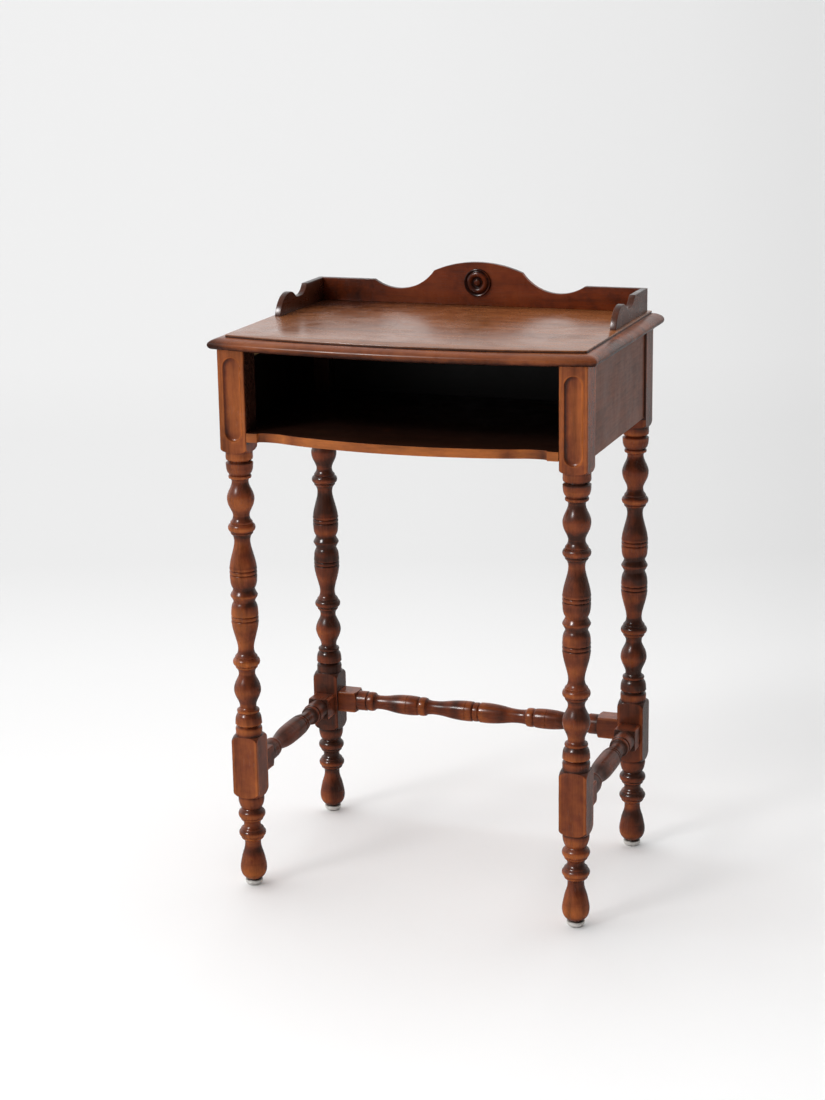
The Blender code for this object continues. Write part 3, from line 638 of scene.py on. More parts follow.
def leg_rows():
    """(distance, radius) up a leg: its foot, its block, its shaft and its post."""
    half_shaft = (POST_FOOT - BLOCK_TOP) / 2
    shaft = both_ways(runs(HALF_SHAFT), BLOCK_TOP + half_shaft)
    clear = LEG_SIZE * CLEAR_SHARE
    post_shoulder = 0.0100
    block_shoulder = 0.0145
    rows = runs(FOOT)
    rows[0] = (FOOT_END, rows[0][1])
    rows += shoulder(FOOT_HEIGHT, block_shoulder, rows[-1][1], clear)
    rows += list(reversed(shoulder(BLOCK_TOP, -block_shoulder, shaft[0][1], clear)))
    rows += shaft
    rows += shoulder(POST_FOOT, post_shoulder, shaft[-1][1], clear)

    # The rows of the post are close only where the round ends of a sunk panel are
    low, high = POST_FOOT + 0.0105, POST_TOP - 0.0080
    fine_step, fine_count = 0.0006, 34
    panel_ends = [low + i * fine_step for i in range(fine_count)]
    rows += [(z, clear) for z in panel_ends]
    rows += [(low + (high - low) * i / 6, clear) for i in (2, 3, 4)]
    rows += [(high - (z - low), clear) for z in reversed(panel_ends)]
    end_radius = clear * 0.93
    rows += [(POST_TOP - END_EASE, clear), (POST_TOP, end_radius)]
    return rows


# A sunk panel's distance from the post's foot and from its top, its place off centre, and its wall's shade
SUNK_PANELS = {
    "left": (0.0154, 0.0099, 0.0011, 0.38),
    "right": (0.0101, 0.0122, 0.0003, 0.50),
}
FACE_START = 0.93


def front_post(hand):
    """Presses the round-ended panel into a post's front face, and darkens its face in the compartment.

    The darkening is painted shade. The panel's walls and ends carry painted shade and light, its floor is
    paler toward the right as painted light, and its rim has a painted highlight.
    """
    above, below, off, shade = SUNK_PANELS[hand]
    low, high = POST_FOOT + above, POST_TOP - below
    half = LEG_SIZE / 2
    radius = 0.0123
    wall, lip, depth = 0.0060, 0.0007, 0.0036
    front_start = half * 0.98
    # Painted shade on the post's face in the compartment, and a painted highlight on the panel's rim
    compartment_shade, dark_start = 0.42, 0.0035
    rim_highlight, rim_fade = 0.16, 80
    # Painted shade at the panel's round ends and on its walls, and painted light on its floor to the right
    end_shade, end_reach, end_blend = 0.20, 0.026, 0.003
    floor_tone, floor_light_slant = 0.05, 0.09
    wall_shade, wall_blend = 0.10, 0.0010
    lit_across, lit_down = 0.85, 0.5

    def sink(a, b, z, wear_and_shade):
        if z > POST_SQUARE and -a * HANDS[hand] > half * FACE_START:
            return a, b, wear_and_shade - compartment_shade * clamp((b + half) / dark_start)
        if b > -front_start:
            return a, b, wear_and_shade
        centre = min(max(z, low + radius), high - radius)
        inside = radius - math.hypot(a - off, z - centre)
        if inside <= 0:
            return a, b, wear_and_shade + max(0, rim_highlight + inside * rim_fade)
        share = min(inside / wall, 1)
        sunk = depth * math.sqrt(1 - (1 - share) ** 2) * min(inside / lip, 1) ** 0.5
        lit = ((a - off) * lit_across - (z - centre) * lit_down) / radius
        ends = max(0, 1 - min(z - low, high - z) / end_reach)
        wear_and_shade += floor_tone + floor_light_slant * a / radius - end_shade * ends * min(inside / end_blend, 1)
        wear_and_shade += (lit * shade - wall_shade) * (1 - share) * min(inside / wall_blend, 1)
        return a, b + sunk, wear_and_shade

    return sink


def back_post(hand):
    """Paints shade on the faces of a post that are in the compartment."""
    edge = LEG_SIZE / 2 * FACE_START
    compartment_shade = 0.5

    def sink(a, b, z, wear_and_shade):
        inside = z > POST_SQUARE and (b < -edge or -a * HANDS[hand] > edge)
        return a, b, wear_and_shade - compartment_shade * inside

    return sink


# How much paler than usual a leg is, and where its bands start
LEG_STAINS = {
    ("front", "left"): (0.13, 0.9),
    ("front", "right"): (0.0, 2.5),
    ("back", "left"): (-0.165, 4.1),
    ("back", "right"): (-0.08, 5.4),
}


def leg_axis(end, hand):
    """The point on the floor under the middle of a leg."""
    return HANDS[hand] * LEG_X, FRONT_Y if end == "front" else BACK_Y, 0


def leg(end, hand):
    """A leg, paler toward the floor and dark at the tip of its foot, as painted light and shadow."""
    name = f"leg_{end}_{hand}"
    front = end == "front"
    own, phase = LEG_STAINS[end, hand]
    square_shade = 0.04
    # Painted light from the floor low on the leg, and painted shadow at the tip of its foot
    floor_bounce, foot_reach = 0.12, 0.16
    tip_shade, tip_top, tip_blend = 0.45, 0.0112, 0.0016

    def stain_and_shade(z):
        tip = clamp((tip_top - z) / tip_blend)
        squares = square_shade * (z > POST_SQUARE) - square_shade * (BLOCK_TOP > z > FOOT_HEIGHT)
        return own + squares + floor_bounce * max(0, 1 - z / foot_reach) - tip_shade * tip

    piece = bar(
        "turned_" + name,
        leg_rows(),
        LEG_SIZE,
        "Z",
        leg_axis(end, hand),
        (0.14, 0.14, 0.14, 0.035 if front else 0.14),
        sink=front_post(hand) if front else back_post(hand),
        stain_and_shade=stain_and_shade,
        upward_shade=0.19,
        side_shade=0.17,
        phase=phase,
        window_shaded=True,
    )
    finish_piece(piece, "leg", LEG_WOOD, name)


# Stretchers

RAIL_SPACINGS = (0.084,) * 4


def rail_rows(table, half_span, shift, scribes):
    """(distance, radius) along a stretcher, whose scribed rings are (distance, depth)."""
    half_turned = table[-1][0] * MM
    middle = both_ways(outline(table), shift)
    clear = RAIL_SIZE * CLEAR_SHARE
    rounding = 0.005
    radius = middle[0][1]
    width_share, margin_share = 1.1, 1.3
    for at, deep in scribes:
        wide = deep * width_share
        rows = [row for row in middle if abs(row[0] - at) > wide * margin_share]
        near = min(middle, key=lambda row: abs(row[0] - at))[1]
        rows += [(at - wide, near), (at, near - deep), (at + wide, near)]
        middle = sorted(rows)
    end_radius = clear * 0.955
    rows = [(-half_span, end_radius), (-half_span + END_EASE, clear)]
    rows += list(reversed(shoulder(shift - half_turned, -rounding, radius, clear)))
    rows += middle
    rows += shoulder(shift + half_turned, rounding, radius, clear)
    rows += [(half_span - END_EASE, clear), (half_span, end_radius)]
    return rows


def back_rail():
    """The stretcher between the back legs, with a scribed ring left of its middle."""
    low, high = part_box("back_stretcher")
    place = (0, (low.y + high.y) / 2, (low.z + high.z) / 2)
    rows = rail_rows(HALF_BACK_RAIL, INNER_X - FIT_GAP, -0.0015, [(-0.017, 0.0006)])
    piece = bar("turned_back_stretcher", rows, RAIL_SIZE, "X", place, RAIL_SPACINGS, phase=0.0)
    finish_piece(piece, "stretcher", RAIL_WOOD_X, "back_stretcher")


def side_rail(hand):
    """A stretcher from a front leg to a back one, with two scribed rings behind its middle."""
    name = f"side_stretcher_{hand}"
    low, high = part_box(name)
    place = (HANDS[hand] * LEG_X, (BAY_FRONT + BAY_BACK) / 2, (low.z + high.z) / 2)
    half_span = (BAY_BACK - BAY_FRONT) / 2 - FIT_GAP
    rows = rail_rows(HALF_SIDE_RAIL, half_span, 0, [(0.023, 0.0012), (0.030, 0.0012)])
    piece = bar("turned_" + name, rows, RAIL_SIZE, "Y", place, RAIL_SPACINGS, stain_and_shade=lambda y: -0.16)
    finish_piece(piece, "stretcher", RAIL_WOOD_Y, name)


# Top

TOP_BOW = 0.0265
MOULD_REACH = 0.0175
FIELD_RISE = 0.0032


def top_plan(reach, cut):
    """Outline of the top from above, at a reach beyond its flat field, with its corners cut round."""
    corner_steps = 8
    front_steps = 60
    half = TOP_HIGH.x - MOULD_REACH + reach
    radius = (half**2 + TOP_BOW**2) / (2 * TOP_BOW)
    front = TOP_LOW.y + MOULD_REACH - reach
    centre = front + radius
    turn = math.asin(half / radius) - cut / radius
    back = TOP_HIGH.y - max(0, -reach)
    side_y = front + TOP_BOW + cut
    edge_x, edge_y = radius * math.sin(turn), centre - radius * math.cos(turn)
    rear_stretch, front_stretch = 0.1, 0.05
    points = [(half, back), (half, back - rear_stretch), (half, side_y + front_stretch)]
    for i in range(corner_steps + 1):
        angle = i / corner_steps * math.pi / 2
        x = half + (edge_x - half) * (1 - math.cos(angle))
        y = side_y + (edge_y - side_y) * math.sin(angle)
        points.append((x, y))
    for i in range(1, front_steps):
        angle = turn * (1 - i / front_steps)
        points.append((radius * math.sin(angle), centre - radius * math.cos(angle)))
    other = [(-x, y) for x, y in reversed(points)]
    return points + [(0, front)] + other


def top_field_profile():
    """(reach, height, corner radius, tone) down the edge of the flat field, above the moulding."""
    foot = SURFACE - FIELD_RISE
    return [
        (-0.0006, SURFACE, 0.0052, 0.55),
        (-0.0002, SURFACE - 0.00012, 0.005, 0.62),
        (0, SURFACE - 0.0005, 0.005, 0.6),
        # The low tones down the field's edge are painted shade in the step
        (0, foot + 0.0006, 0.005, 0.2),
        (0, foot - 0.0006, 0.005, 0.1),
    ]


def moulding_profile():
    """(reach, height, corner radius, tone) from under the field's edge over the nose to the underside."""
    fillet = SURFACE - FIELD_RISE
    nose = fillet - 0.008
    under = TOP_LOW.z
    start = 0.0004
    undercut = 0.0058
    upper_steps, lower_steps = 14, 10
    rows = [
        # The fillet's low tones are painted shade under the field's edge
        (-0.003, fillet, 0.005, 0.2),
        (0.0002, fillet, 0.005, 0.22),
        (0.0010, fillet - 0.0001, 0.005, 0.50),
    ]
    for i in range(2, upper_steps + 1):
        angle = i / upper_steps * math.pi / 2
        reach = start + (MOULD_REACH - start) * math.sin(angle)
        height = nose + (fillet - nose) * math.cos(angle)
        rows.append((reach, height, 0.005 - 0.0032 * i / upper_steps, 0.57 - 0.08 * i / upper_steps))
    # Down the underside the tone falls, as painted shade under the nose
    for i in range(1, lower_steps + 1):
        angle = i / lower_steps * math.pi / 2
        reach = MOULD_REACH - undercut * (1 - math.cos(angle))
        height = nose + (under - nose) * math.sin(angle)
        rows.append((reach, height, 0.0018, 0.47 - 0.46 * i / lower_steps))
    return rows


def edged(name, profile, side_shade=0.0):
    """A mesh of the top's plan down a profile, darker at its left and right ends by painted shade."""
    stain_reach, stain_blend = 0.030, 0.025
    rings = []
    tones = []
    for reach, height, cut, tone in profile:
        plan = top_plan(reach, cut)
        rings.append([(x, y, height) for x, y in plan])
        sides = [clamp((abs(x) - TOP_HIGH.x + stain_reach) / stain_blend) for x, _ in plan]
        tones.append([tone - side_shade * share for share in sides])
    return lofted(name, rings, tones, 40)


def top():
    """The flat field of the top, and the moulded edge along its front and sides."""
    finish_piece(edged("top_field", top_field_profile()), "top", TOP_WOOD, "top_board")
    finish_piece(edged("moulded_top", moulding_profile(), 0.13), "top", MOULDING_WOOD, "top_board")


# Galleries and rosette

GALLERY_BASE = SURFACE - 0.0002
GALLERY_ARRIS = 0.0009


def back_gallery():
    """The board along the back of the top, mitred to the side galleries."""
    low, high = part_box("back_gallery")
    half = high.x
    upper = gallery_outline(HALF_BACK_GALLERY, half, high.z - GALLERY_BASE)
    rings = []
    for y, reach in ((low.y, half - (high.y - low.y)), (high.y, half)):
        side = [(reach, 0), (reach, upper[0][1]), *upper[1:]]
        whole = side + [(-x, z) for x, z in reversed(side[:-1])]
        rings.append([(x, y, GALLERY_BASE + z) for x, z in whole])
    piece = lofted("shaped_back_gallery", rings)
    ease(piece, GALLERY_ARRIS)
    finish_piece(piece, "gallery", GALLERY_WOOD_X, "back_gallery")


def side_gallery(hand):
    """A scrolled board along one side of the top, mitred to the back gallery."""
    name = f"side_gallery_{hand}"
    low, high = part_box(name)
    side = HANDS[hand]
    outer = high.x if side > 0 else -low.x
    thick = 0.0083
    length = 0.165
    gap = FIT_GAP * math.sqrt(2)
    upper = gallery_outline(SIDE_GALLERY, length, high.z - GALLERY_BASE)
    rings = []
    for x, back in ((outer - thick, length - thick - gap), (outer, length - gap)):
        points = [*upper[:-1], (back, upper[-1][1]), (back, 0)]
        rings.append([(side * x, low.y + y, GALLERY_BASE + z) for y, z in points])
    piece = lofted("shaped_" + name, rings)
    ease(piece, GALLERY_ARRIS)
    finish_piece(piece, "gallery", GALLERY_WOOD_Y, name)


def rosette():
    """The bullseye disc, with painted shade in its hollows, on the crown of the back gallery."""
    low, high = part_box("rosette")
    gallery_low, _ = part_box("back_gallery")
    face = gallery_low.y - FIT_GAP
    centre = (0, 0, (low.z + high.z) / 2)
    eye_radius, eye_tone = 4, 0.40
    # Outside its eye the disc is darker the lower it lies, as painted shade in its hollows
    hollow_shade, gain = 0.08, 0.065
    rows = [(face - rise * MM, radius * MM) for radius, rise in ROSETTE]
    tones = [eye_tone if radius < eye_radius else hollow_shade + gain * rise for radius, rise in ROSETTE]
    piece = disc("turned_rosette", rows, tones, "Y", centre)
    finish_piece(piece, "gallery", ROSETTE_WOOD, "rosette")


# Shelf


def shelf():
    """The shelf between the posts and the panels, with its bowed and hollowed front edge."""
    bow = 0.0172
    tongue = 0.005
    steps = 8
    post_share = 0.928
    post_front = LEG_LOW.y
    narrow = INNER_X - FIT_GAP
    wide = SHELF_HIGH.x - tongue
    keys = [(x * narrow, post_front - y * bow) for x, y in HALF_SHELF_FRONT]
    before = (-keys[1][0], keys[1][1])
    beyond = tuple(2 * last - other for last, other in zip(keys[-1], keys[-2]))
    keys = [before, *keys, beyond]
    half = [keys[1]]
    for four in zip(keys, keys[1:], keys[2:], keys[3:]):
        for i in range(1, steps + 1):
            half.append(tuple(spline(*values, i / steps) for values in zip(*four)))
    half += [(post_share * narrow, post_front), (narrow, post_front)]
    half += [(narrow, BAY_FRONT + FIT_GAP), (wide, BAY_FRONT + FIT_GAP)]
    half += [(wide, BAY_BACK - FIT_GAP), (narrow, BAY_BACK - FIT_GAP), (narrow, SHELF_HIGH.y - tongue)]
    whole = half + [(-x, y) for x, y in reversed(half[1:])]
    rings = [[(x, y, z) for x, y in whole] for z in (SHELF_LOW.z, SHELF_HIGH.z)]
    tones = [between(SHELF_EDGE_TONES, abs(x) / narrow) for x, _ in whole]
    piece = lofted("shaped_shelf", rings, [tones, tones])
    ease(piece, 0.0010)
    finish_piece(piece, "shelf", SHELF_WOOD, "shelf")


# Glides


def glide(end, hand):
    """A domed glide, bright up to its edge, with the foot's shadow painted where it meets the foot."""
    name = f"glide_{end}_{hand}"
    rows = [(height * MM, radius * MM) for radius, height in GLIDE]
    # Painted shadow of the foot over the top of the glide
    bright_top, shadow_top = 5, 7
    tones = [1.0 if height < bright_top else 0.6 if height < shadow_top else 0.0 for _, height in GLIDE]
    piece = disc("domed_" + name, rows, tones, "Z", leg_axis(end, hand), 64)
    finish_piece(piece, "glide", NICKEL, name)


# Materials

UPWARD = (0, 0, 1)


def scaled(colour, by):
    return tuple(value * by for value in colour)


def grey(value):
    return (value,) * 3


class Nodes:
    """A short way to add and link the nodes of a tree."""

    def __init__(self, tree):
        self.tree = tree

    def feed(self, socket, value):
        if isinstance(value, bpy.types.NodeSocket):
            self.tree.links.new(value, socket)
        else:
            socket.default_value = value

    def add(self, kind, settings=None, **inputs):
        """A new node. Each input goes by its socket's name, or by the letter i and its number."""
        node = self.tree.nodes.new(kind)
        for key, value in (settings or {}).items():
            setattr(node, key, value)
        for key, value in inputs.items():
            self.feed(node.inputs[int(key[1:]) if key[1:].isdigit() else key], value)
        return node

    def noise(self, vector, scale, detail=4.0, roughness=0.55, distortion=0.0):
        inputs = {"Scale": scale, "Detail": detail, "Roughness": roughness, "Distortion": distortion}
        return self.add("ShaderNodeTexNoise", Vector=vector, **inputs).outputs[0]

    def ramp(self, value, *stops):
        node = self.add("ShaderNodeValToRGB", i0=value)
        elements = node.color_ramp.elements
        while len(elements) < len(stops):
            elements.new(0.5)
        for element, (at, colour) in zip(elements, stops):
            element.position = at
            element.color = (*colour, 1)
        return node.outputs[0]

    def fit(self, value, low, high, new_low, new_high):
        node = self.add("ShaderNodeMapRange", i0=value, i1=low, i2=high, i3=new_low, i4=new_high)
        return node.outputs[0]

    def spread(self, noise, low, high):
        """Fits a noise, which keeps mostly between 0.3 and 0.7, to the range from low to high."""
        return self.fit(noise, 0.3, 0.7, low, high)

    def maths(self, operation, a, b):
        return self.add("ShaderNodeMath", {"operation": operation}, i0=a, i1=b).outputs[0]

    def dot(self, vector, axis):
        node = self.add("ShaderNodeVectorMath", {"operation": "DOT_PRODUCT"}, i0=vector, i1=axis)
        return node.outputs[1]

    def mix(self, factor, a, b, blend="MIX"):
        node = self.add("ShaderNodeMix", {"data_type": "RGBA", "blend_type": blend}, i0=factor, i6=a, i7=b)
        return node.outputs[2]


class Surface(Nodes):
    """The nodes of a new material."""

    def __init__(self, name):
        self.material = bpy.data.materials.new(name)
        self.material.use_nodes = True
        super().__init__(self.material.node_tree)
        self.shader = self.tree.nodes["Principled BSDF"]

    def place(self):
        return self.add("ShaderNodeTexCoord").outputs["Object"]

    def tone(self):
        return self.add("ShaderNodeAttribute", {"attribute_name": "tone"}).outputs["Fac"]

    def stretched(self, place, scale):
        return self.add("ShaderNodeMapping", Vector=place, Scale=scale).outputs[0]

    def give(self, name, value):
        self.feed(self.shader.inputs[name], value)

    def bump(self, strength, distance, height):
        node = self.add("ShaderNodeBump", Strength=strength, Distance=distance, Height=height)
        self.give("Normal", node.outputs[0])


def wood(name, tones, grain, gloss=0.22, shine=0.3, relief=0.06, blotches=0.12, unlit=None, topside=0):
    """Stained and polished wood of a dark, a middle and a light colour, its figure drawn out by grain.

    A piece's own tone gives its stain: dark where polish gathers and where shade is painted, light where
    hands have rubbed it and where light is painted.
    Unlit is an axis, two places along it and how much painted shade darkens it past the second of them.
    Topside is how much painted shade darkens a face that looks up.
    """
    dark, middle, light = tones
    pale = tuple((a + b) / 2 for a, b in zip(middle, light))
    n = Surface(name)
    place = n.place()
    drawn = n.stretched(place, grain)
    wander = n.noise(drawn, 9.0, 3.0, 0.5, 0.4)
    bend = {"operation": "MULTIPLY_ADD"}
    bent = n.add("ShaderNodeVectorMath", bend, i0=wander, i1=grey(0.03), i2=drawn).outputs[0]
    rings = n.noise(bent, 60.0, 5.0, 0.6, 0.6)
    pores = n.noise(bent, 420.0, 5.0, 0.7, 0.2)
    broad = n.noise(place, 11.0, 4.0, 0.55, 0.4)
    fine = n.noise(place, 70.0, 4.0, 0.6, 0.2)
    tone = n.maths("ADD", n.tone(), n.spread(broad, -blotches, blotches))
    tone = n.maths("ADD", tone, n.spread(fine, -0.07, 0.07))
    if unlit:
        axis, start, end, depth = unlit
        tone = n.maths("SUBTRACT", tone, n.fit(n.dot(place, axis), start, end, 0.0, depth))
    if topside:
        facing = n.add("ShaderNodeNewGeometry").outputs["True Normal"]
        tone = n.maths("SUBTRACT", tone, n.fit(n.dot(facing, UPWARD), 0.75, 0.98, 0.0, topside))
    stops = ((0.05, scaled(dark, 0.7)), (0.28, dark), (0.50, middle), (0.72, pale), (0.95, light))
    stain_and_shade = n.ramp(tone, *stops)
    figure = n.maths("ADD", n.maths("MULTIPLY", rings, 0.65), n.maths("MULTIPLY", pores, 0.35))
    grained = n.ramp(figure, (0.36, grey(0.60)), (0.50, (0.97, 0.96, 0.95)), (0.66, grey(1.28)))
    n.give("Base Color", n.mix(1.0, stain_and_shade, grained, "MULTIPLY"))
    smudges = n.noise(n.stretched(place, (1, 1, 0.45)), 26.0, 5.0, 0.62, 0.5)
    handled = n.spread(smudges, gloss - 0.06, gloss + 0.08)
    n.give("Roughness", n.maths("ADD", handled, n.fit(pores, 0.35, 0.7, 0.04, -0.03)))
    n.bump(relief, 0.0005, n.maths("ADD", pores, n.maths("MULTIPLY", rings, 0.6)))
    n.give("IOR", 1.45)
    n.give("Specular IOR Level", shine)
    return n.material


def nickel(name):
    """Plating that is clouded all over, and darker where its tone is low, as painted shadow."""
    n = Surface(name)
    place = n.place()
    cloud = n.noise(place, 240.0, 4.0, 0.6)
    plate = n.ramp(cloud, (0.35, (0.72, 0.69, 0.65)), (0.6, (0.90, 0.88, 0.84)), (0.8, (0.95, 0.94, 0.91)))
    foot_shadow = n.ramp(n.tone(), (0.2, (0.45, 0.43, 0.40)), (0.8, grey(1.0)))
    n.give("Base Color", n.mix(1.0, plate, foot_shadow, "MULTIPLY"))
    n.give("Roughness", n.spread(cloud, 0.38, 0.26))
    n.bump(0.12, 0.0002, n.noise(place, 900.0, 3.0, 0.5))
    n.give("Metallic", 0.2)
    return n.material


def steel(name):
    """Steel with fine marks that run across Z."""
    n = Surface(name)
    brush = n.noise(n.stretched(n.place(), (1, 1, 12)), 300.0, 3.0, 0.5)
    n.give("Base Color", n.ramp(brush, (0.3, (0.30, 0.30, 0.31)), (0.7, (0.52, 0.52, 0.53))))
    n.give("Roughness", n.spread(brush, 0.5, 0.35))
    n.give("Metallic", 1.0)
    return n.material


def finish_piece(piece, slot, material, *nodes):
    """Gives a piece its material, and says which solids it replaces.

    The slot is not used.
    """
    piece.data.materials.clear()
    piece.data.materials.append(material)
    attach(piece, "root")
    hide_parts(*nodes)


def dress(node, material):
    """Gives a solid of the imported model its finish. Its faces carry no wear of their own."""
    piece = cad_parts[node]
    piece.data.materials.clear()
    piece.data.materials.append(material)
    if "tone" not in piece.data.attributes:
        add_tones(piece.data, [PLAIN_TONE] * len(piece.data.vertices))


LEG_TONES = ((0.062, 0.022, 0.0135), (0.187, 0.043, 0.016), (0.46, 0.126, 0.028))
GALLERY_TONES = ((0.04, 0.010, 0.006), (0.225, 0.040, 0.008), (0.38, 0.09, 0.018))
TOP_TONES = ((0.06, 0.017, 0.008), (0.23, 0.075, 0.024), (0.38, 0.14, 0.042))
# The side galleries are darker than the back gallery, partly their own colour and partly painted shade
SIDE_GALLERY_TONES = ((0.020, 0.007, 0.005), (0.080, 0.022, 0.010), (0.16, 0.05, 0.020))
MOULDING_TONES = ((0.05, 0.013, 0.006), (0.215, 0.055, 0.017), (0.40, 0.13, 0.037))
PANEL_TONES = ((0.012, 0.006, 0.004), (0.155, 0.046, 0.020), (0.24, 0.075, 0.031))
SHELF_TONES = ((0.048, 0.016, 0.008), (0.27, 0.068, 0.015), (0.52, 0.155, 0.031))
BARE_TONES = ((0.20, 0.11, 0.05), (0.42, 0.27, 0.14), (0.55, 0.38, 0.21))

# Painted shade toward the back left of the top, and toward the left end of the back gallery
TOP_UNLIT = ((-0.45, 0.89, 0), 0.10, 0.22, 0.33)
GALLERY_UNLIT = ((-1, 0, 0), 0.10, 0.23, 0.12)


def panel_wood(name, grain, unlit):
    """The panels' wood, with painted shade on their faces in the compartment."""
    return wood(name, PANEL_TONES, grain, gloss=0.36, shine=0.4, blotches=0.05, unlit=unlit)


LEG_WOOD = wood("leg_wood", LEG_TONES, (1, 1, 0.09))
RAIL_WOOD_X = wood("rail_wood_x", LEG_TONES, (0.09, 1, 1))
RAIL_WOOD_Y = wood("rail_wood_y", LEG_TONES, (1, 0.09, 1), gloss=0.30, shine=0.18)
TOP_WOOD = wood(
    "top_wood", TOP_TONES, (0.07, 1, 1), shine=0.5, relief=0.015, blotches=0.08, unlit=TOP_UNLIT
)
MOULDING_WOOD = wood("moulding_wood", MOULDING_TONES, (0.07, 1, 1), gloss=0.27, shine=0.25, relief=0.03)
# The galleries carry painted shade on their faces that look up
GALLERY_WOOD_X = wood(
    "gallery_wood_x", GALLERY_TONES, (0.09, 1, 1), gloss=0.26, unlit=GALLERY_UNLIT, topside=0.25
)
GALLERY_WOOD_Y = wood(
    "gallery_wood_y", SIDE_GALLERY_TONES, (1, 0.09, 1), gloss=0.26, shine=0.4, topside=0.25
)
ROSETTE_WOOD = wood("rosette_wood", GALLERY_TONES, (1, 0.5, 0.5))
PANEL_WOOD_X = panel_wood("panel_wood_x", (0.1, 1, 1), ((0, 1, 0), 0.1700, 0.1610, 0.6))
PANEL_WOODS = {
    hand: panel_wood("panel_wood_" + hand, (1, 0.1, 1), ((side, 0, 0), 0.2440, 0.2350, 0.6))
    for hand, side in HANDS.items()
}
# The shelf carries deep painted shade on its top face
SHELF_WOOD = wood("shelf_wood", SHELF_TONES, (0.09, 1, 1), gloss=0.34, topside=0.64)
BARE_WOOD_Y = wood("bare_wood_y", BARE_TONES, (1, 0.1, 1), gloss=0.7)
BARE_WOOD_Z = wood("bare_wood_z", BARE_TONES, (1, 1, 0.1), gloss=0.7)
NICKEL = nickel("nickel")
STEEL = steel("steel")


# Studio

FLOOR_REACH = 60
WINDOW = (-0.56, -0.83, 0.80)
WINDOW_SPREAD = 12


def white_floor():
    """A white floor that fills the view, a little darker behind the stand and to its right."""
    stage = Surface("floor")
    place = stage.place()
    away = stage.dot(place, BACKWARD)
    across = stage.dot(place, LEFTWARD)
    depth = stage.fit(away, -1.0, 4.0, 0.0, 1.0)
    shade = stage.ramp(depth, *((at, grey(value)) for at, value in FLOOR_DEPTHS))
    camera_distance = 3.0
    turn = stage.maths("DIVIDE", across, stage.maths("ADD", away, camera_distance))
    width = stage.fit(turn, -0.2, 0.1, 0.0, 1.0)
    side = stage.ramp(width, *((at, grey(value)) for at, value in FLOOR_SIDES))
    share = stage.fit(away, -0.6, 0.5, 0.45, 1.0)
    shade = stage.mix(share, shade, stage.mix(1.0, shade, side, "MULTIPLY"))
    mirrored = stage.add("ShaderNodeLightPath").outputs["Is Glossy Ray"]
    stage.give("Base Color", stage.mix(mirrored, shade, (*grey(0.36), 1)))
    stage.give("Roughness", 0.7)
    stage.give("Specular IOR Level", 0.2)
    corners = ((-1, -1), (1, -1), (1, 1), (-1, 1))
    points = [(x * FLOOR_REACH, y * FLOOR_REACH, 0) for x, y in corners]
    floor = make("floor", points, [(0, 1, 2, 3)])
    floor.data.materials.append(stage.material)


def room():
    """Walls that are pale behind and to the left, and dim in front and to the right."""
    world = bpy.data.worlds.new("studio")
    world.use_nodes = True
    walls = Nodes(world.node_tree)
    heading = walls.add("ShaderNodeTexCoord").outputs["Generated"]
    behind = walls.dot(heading, BACKWARD)
    left = walls.dot(heading, LEFTWARD)
    overhead = walls.dot(heading, UPWARD)
    wall = walls.fit(behind, -0.35, 0.45, 0.10, 0.98)
    wall = walls.maths("ADD", wall, walls.fit(left, 0.2, 0.9, 0.0, 0.45))
    wall = walls.maths("MULTIPLY", wall, walls.fit(left, -0.95, -0.1, 0.75, 1.0))
    light = walls.maths("MULTIPLY", wall, walls.fit(overhead, 0.35, 0.9, 1.0, 0.55))
    back = world.node_tree.nodes["Background"]
    back.inputs["Color"].default_value = (*grey(1.0), 1)
    walls.feed(back.inputs["Strength"], light)
    bpy.context.scene.world = world


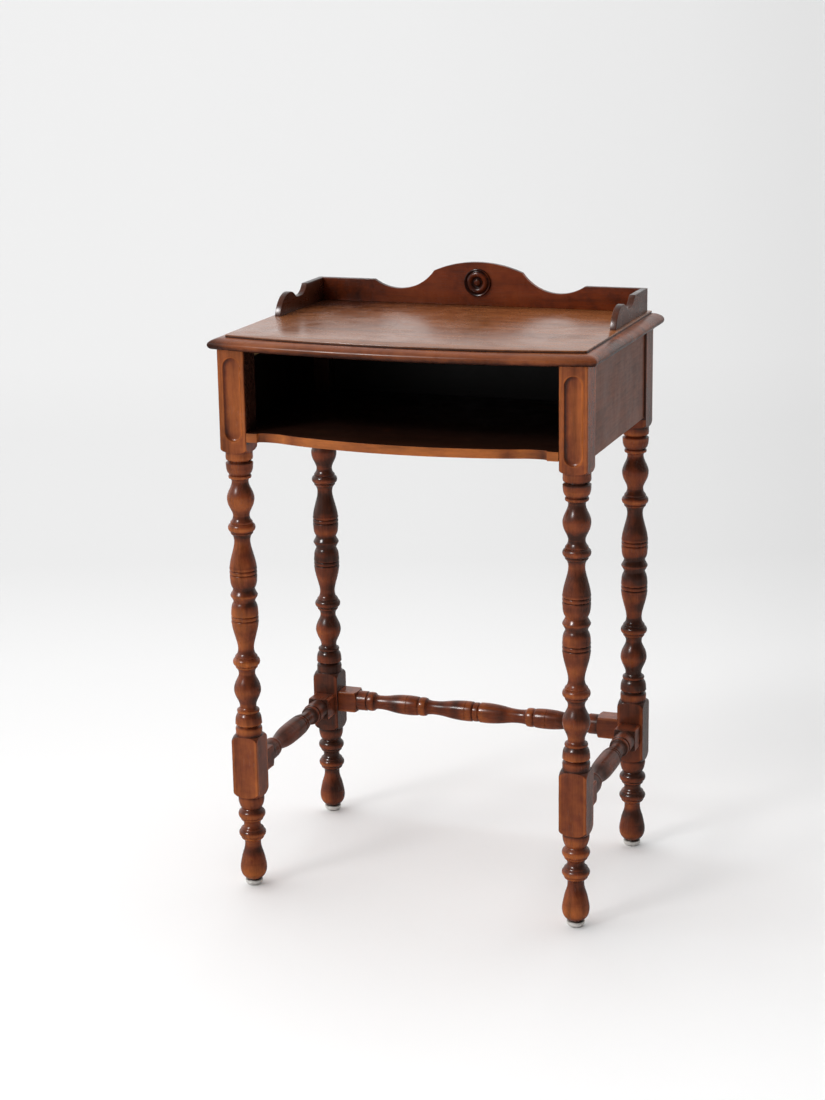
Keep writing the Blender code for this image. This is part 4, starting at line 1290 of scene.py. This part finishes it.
def lamps():
    """A window in front on the left, with a gleam that only polish shows, and soft light from above."""
    sun("window", WINDOW, 0.38, WINDOW_SPREAD)
    gleam = sun("window_gleam", WINDOW, 2.6, WINDOW_SPREAD)
    gleam.visible_diffuse = False
    overhead = sun("overhead", (-0.30, 0.05, 1.0), 2.12, 90)
    overhead.visible_glossy = False


def sun(name, toward, strength, spread):
    """A lamp in a direction from the stand, as soft as its spread in degrees."""
    light = bpy.data.lights.new(name, "SUN")
    light.energy = strength
    light.angle = math.radians(spread)
    piece = bpy.data.objects.new(name, light)
    piece.rotation_euler = Vector(toward).to_track_quat("Z", "Y").to_euler()
    bpy.context.scene.collection.objects.link(piece)
    return piece


def camera():
    """The photograph's camera, solved from the legs, the stretchers and the top."""
    azimuth, elevation, roll = math.radians(20.027), math.radians(14.836), math.radians(-0.931)
    level = math.cos(elevation)
    away = Vector((math.sin(azimuth) * level, -math.cos(azimuth) * level, math.sin(elevation)))
    right = Vector((math.cos(azimuth), math.sin(azimuth), 0))
    up = away.cross(right)
    side = math.cos(roll) * right + math.sin(roll) * up
    head = -math.sin(roll) * right + math.cos(roll) * up
    lens = bpy.data.cameras.new("camera")
    lens.sensor_fit = "VERTICAL"
    lens.sensor_height = 36
    lens.lens = 74.62
    piece = bpy.data.objects.new("camera", lens)
    matrix = Matrix((side, head, away)).transposed().to_4x4()
    matrix.translation = Vector((0.98208, -2.80312, 1.24391))
    piece.matrix_world = matrix
    bpy.context.scene.collection.objects.link(piece)
    bpy.context.scene.camera = piece


camera()
top()
back_gallery()
rosette()
shelf()
back_rail()
for hand in HANDS:
    side_gallery(hand)
    side_rail(hand)
    dress(f"side_panel_{hand}", PANEL_WOODS[hand])
    dress(f"top_cleat_{hand}", BARE_WOOD_Y)
    for end in ("front", "back"):
        leg(end, hand)
        glide(end, hand)
        dress(f"dowel_{end}_{hand}", BARE_WOOD_Z)
    for i in (1, 2, 3):
        dress(f"cleat_screw_{hand}_{i}", STEEL)
dress("back_panel", PANEL_WOOD_X)
white_floor()
room()
lamps()
bpy.context.scene.view_settings.view_transform = "Standard"
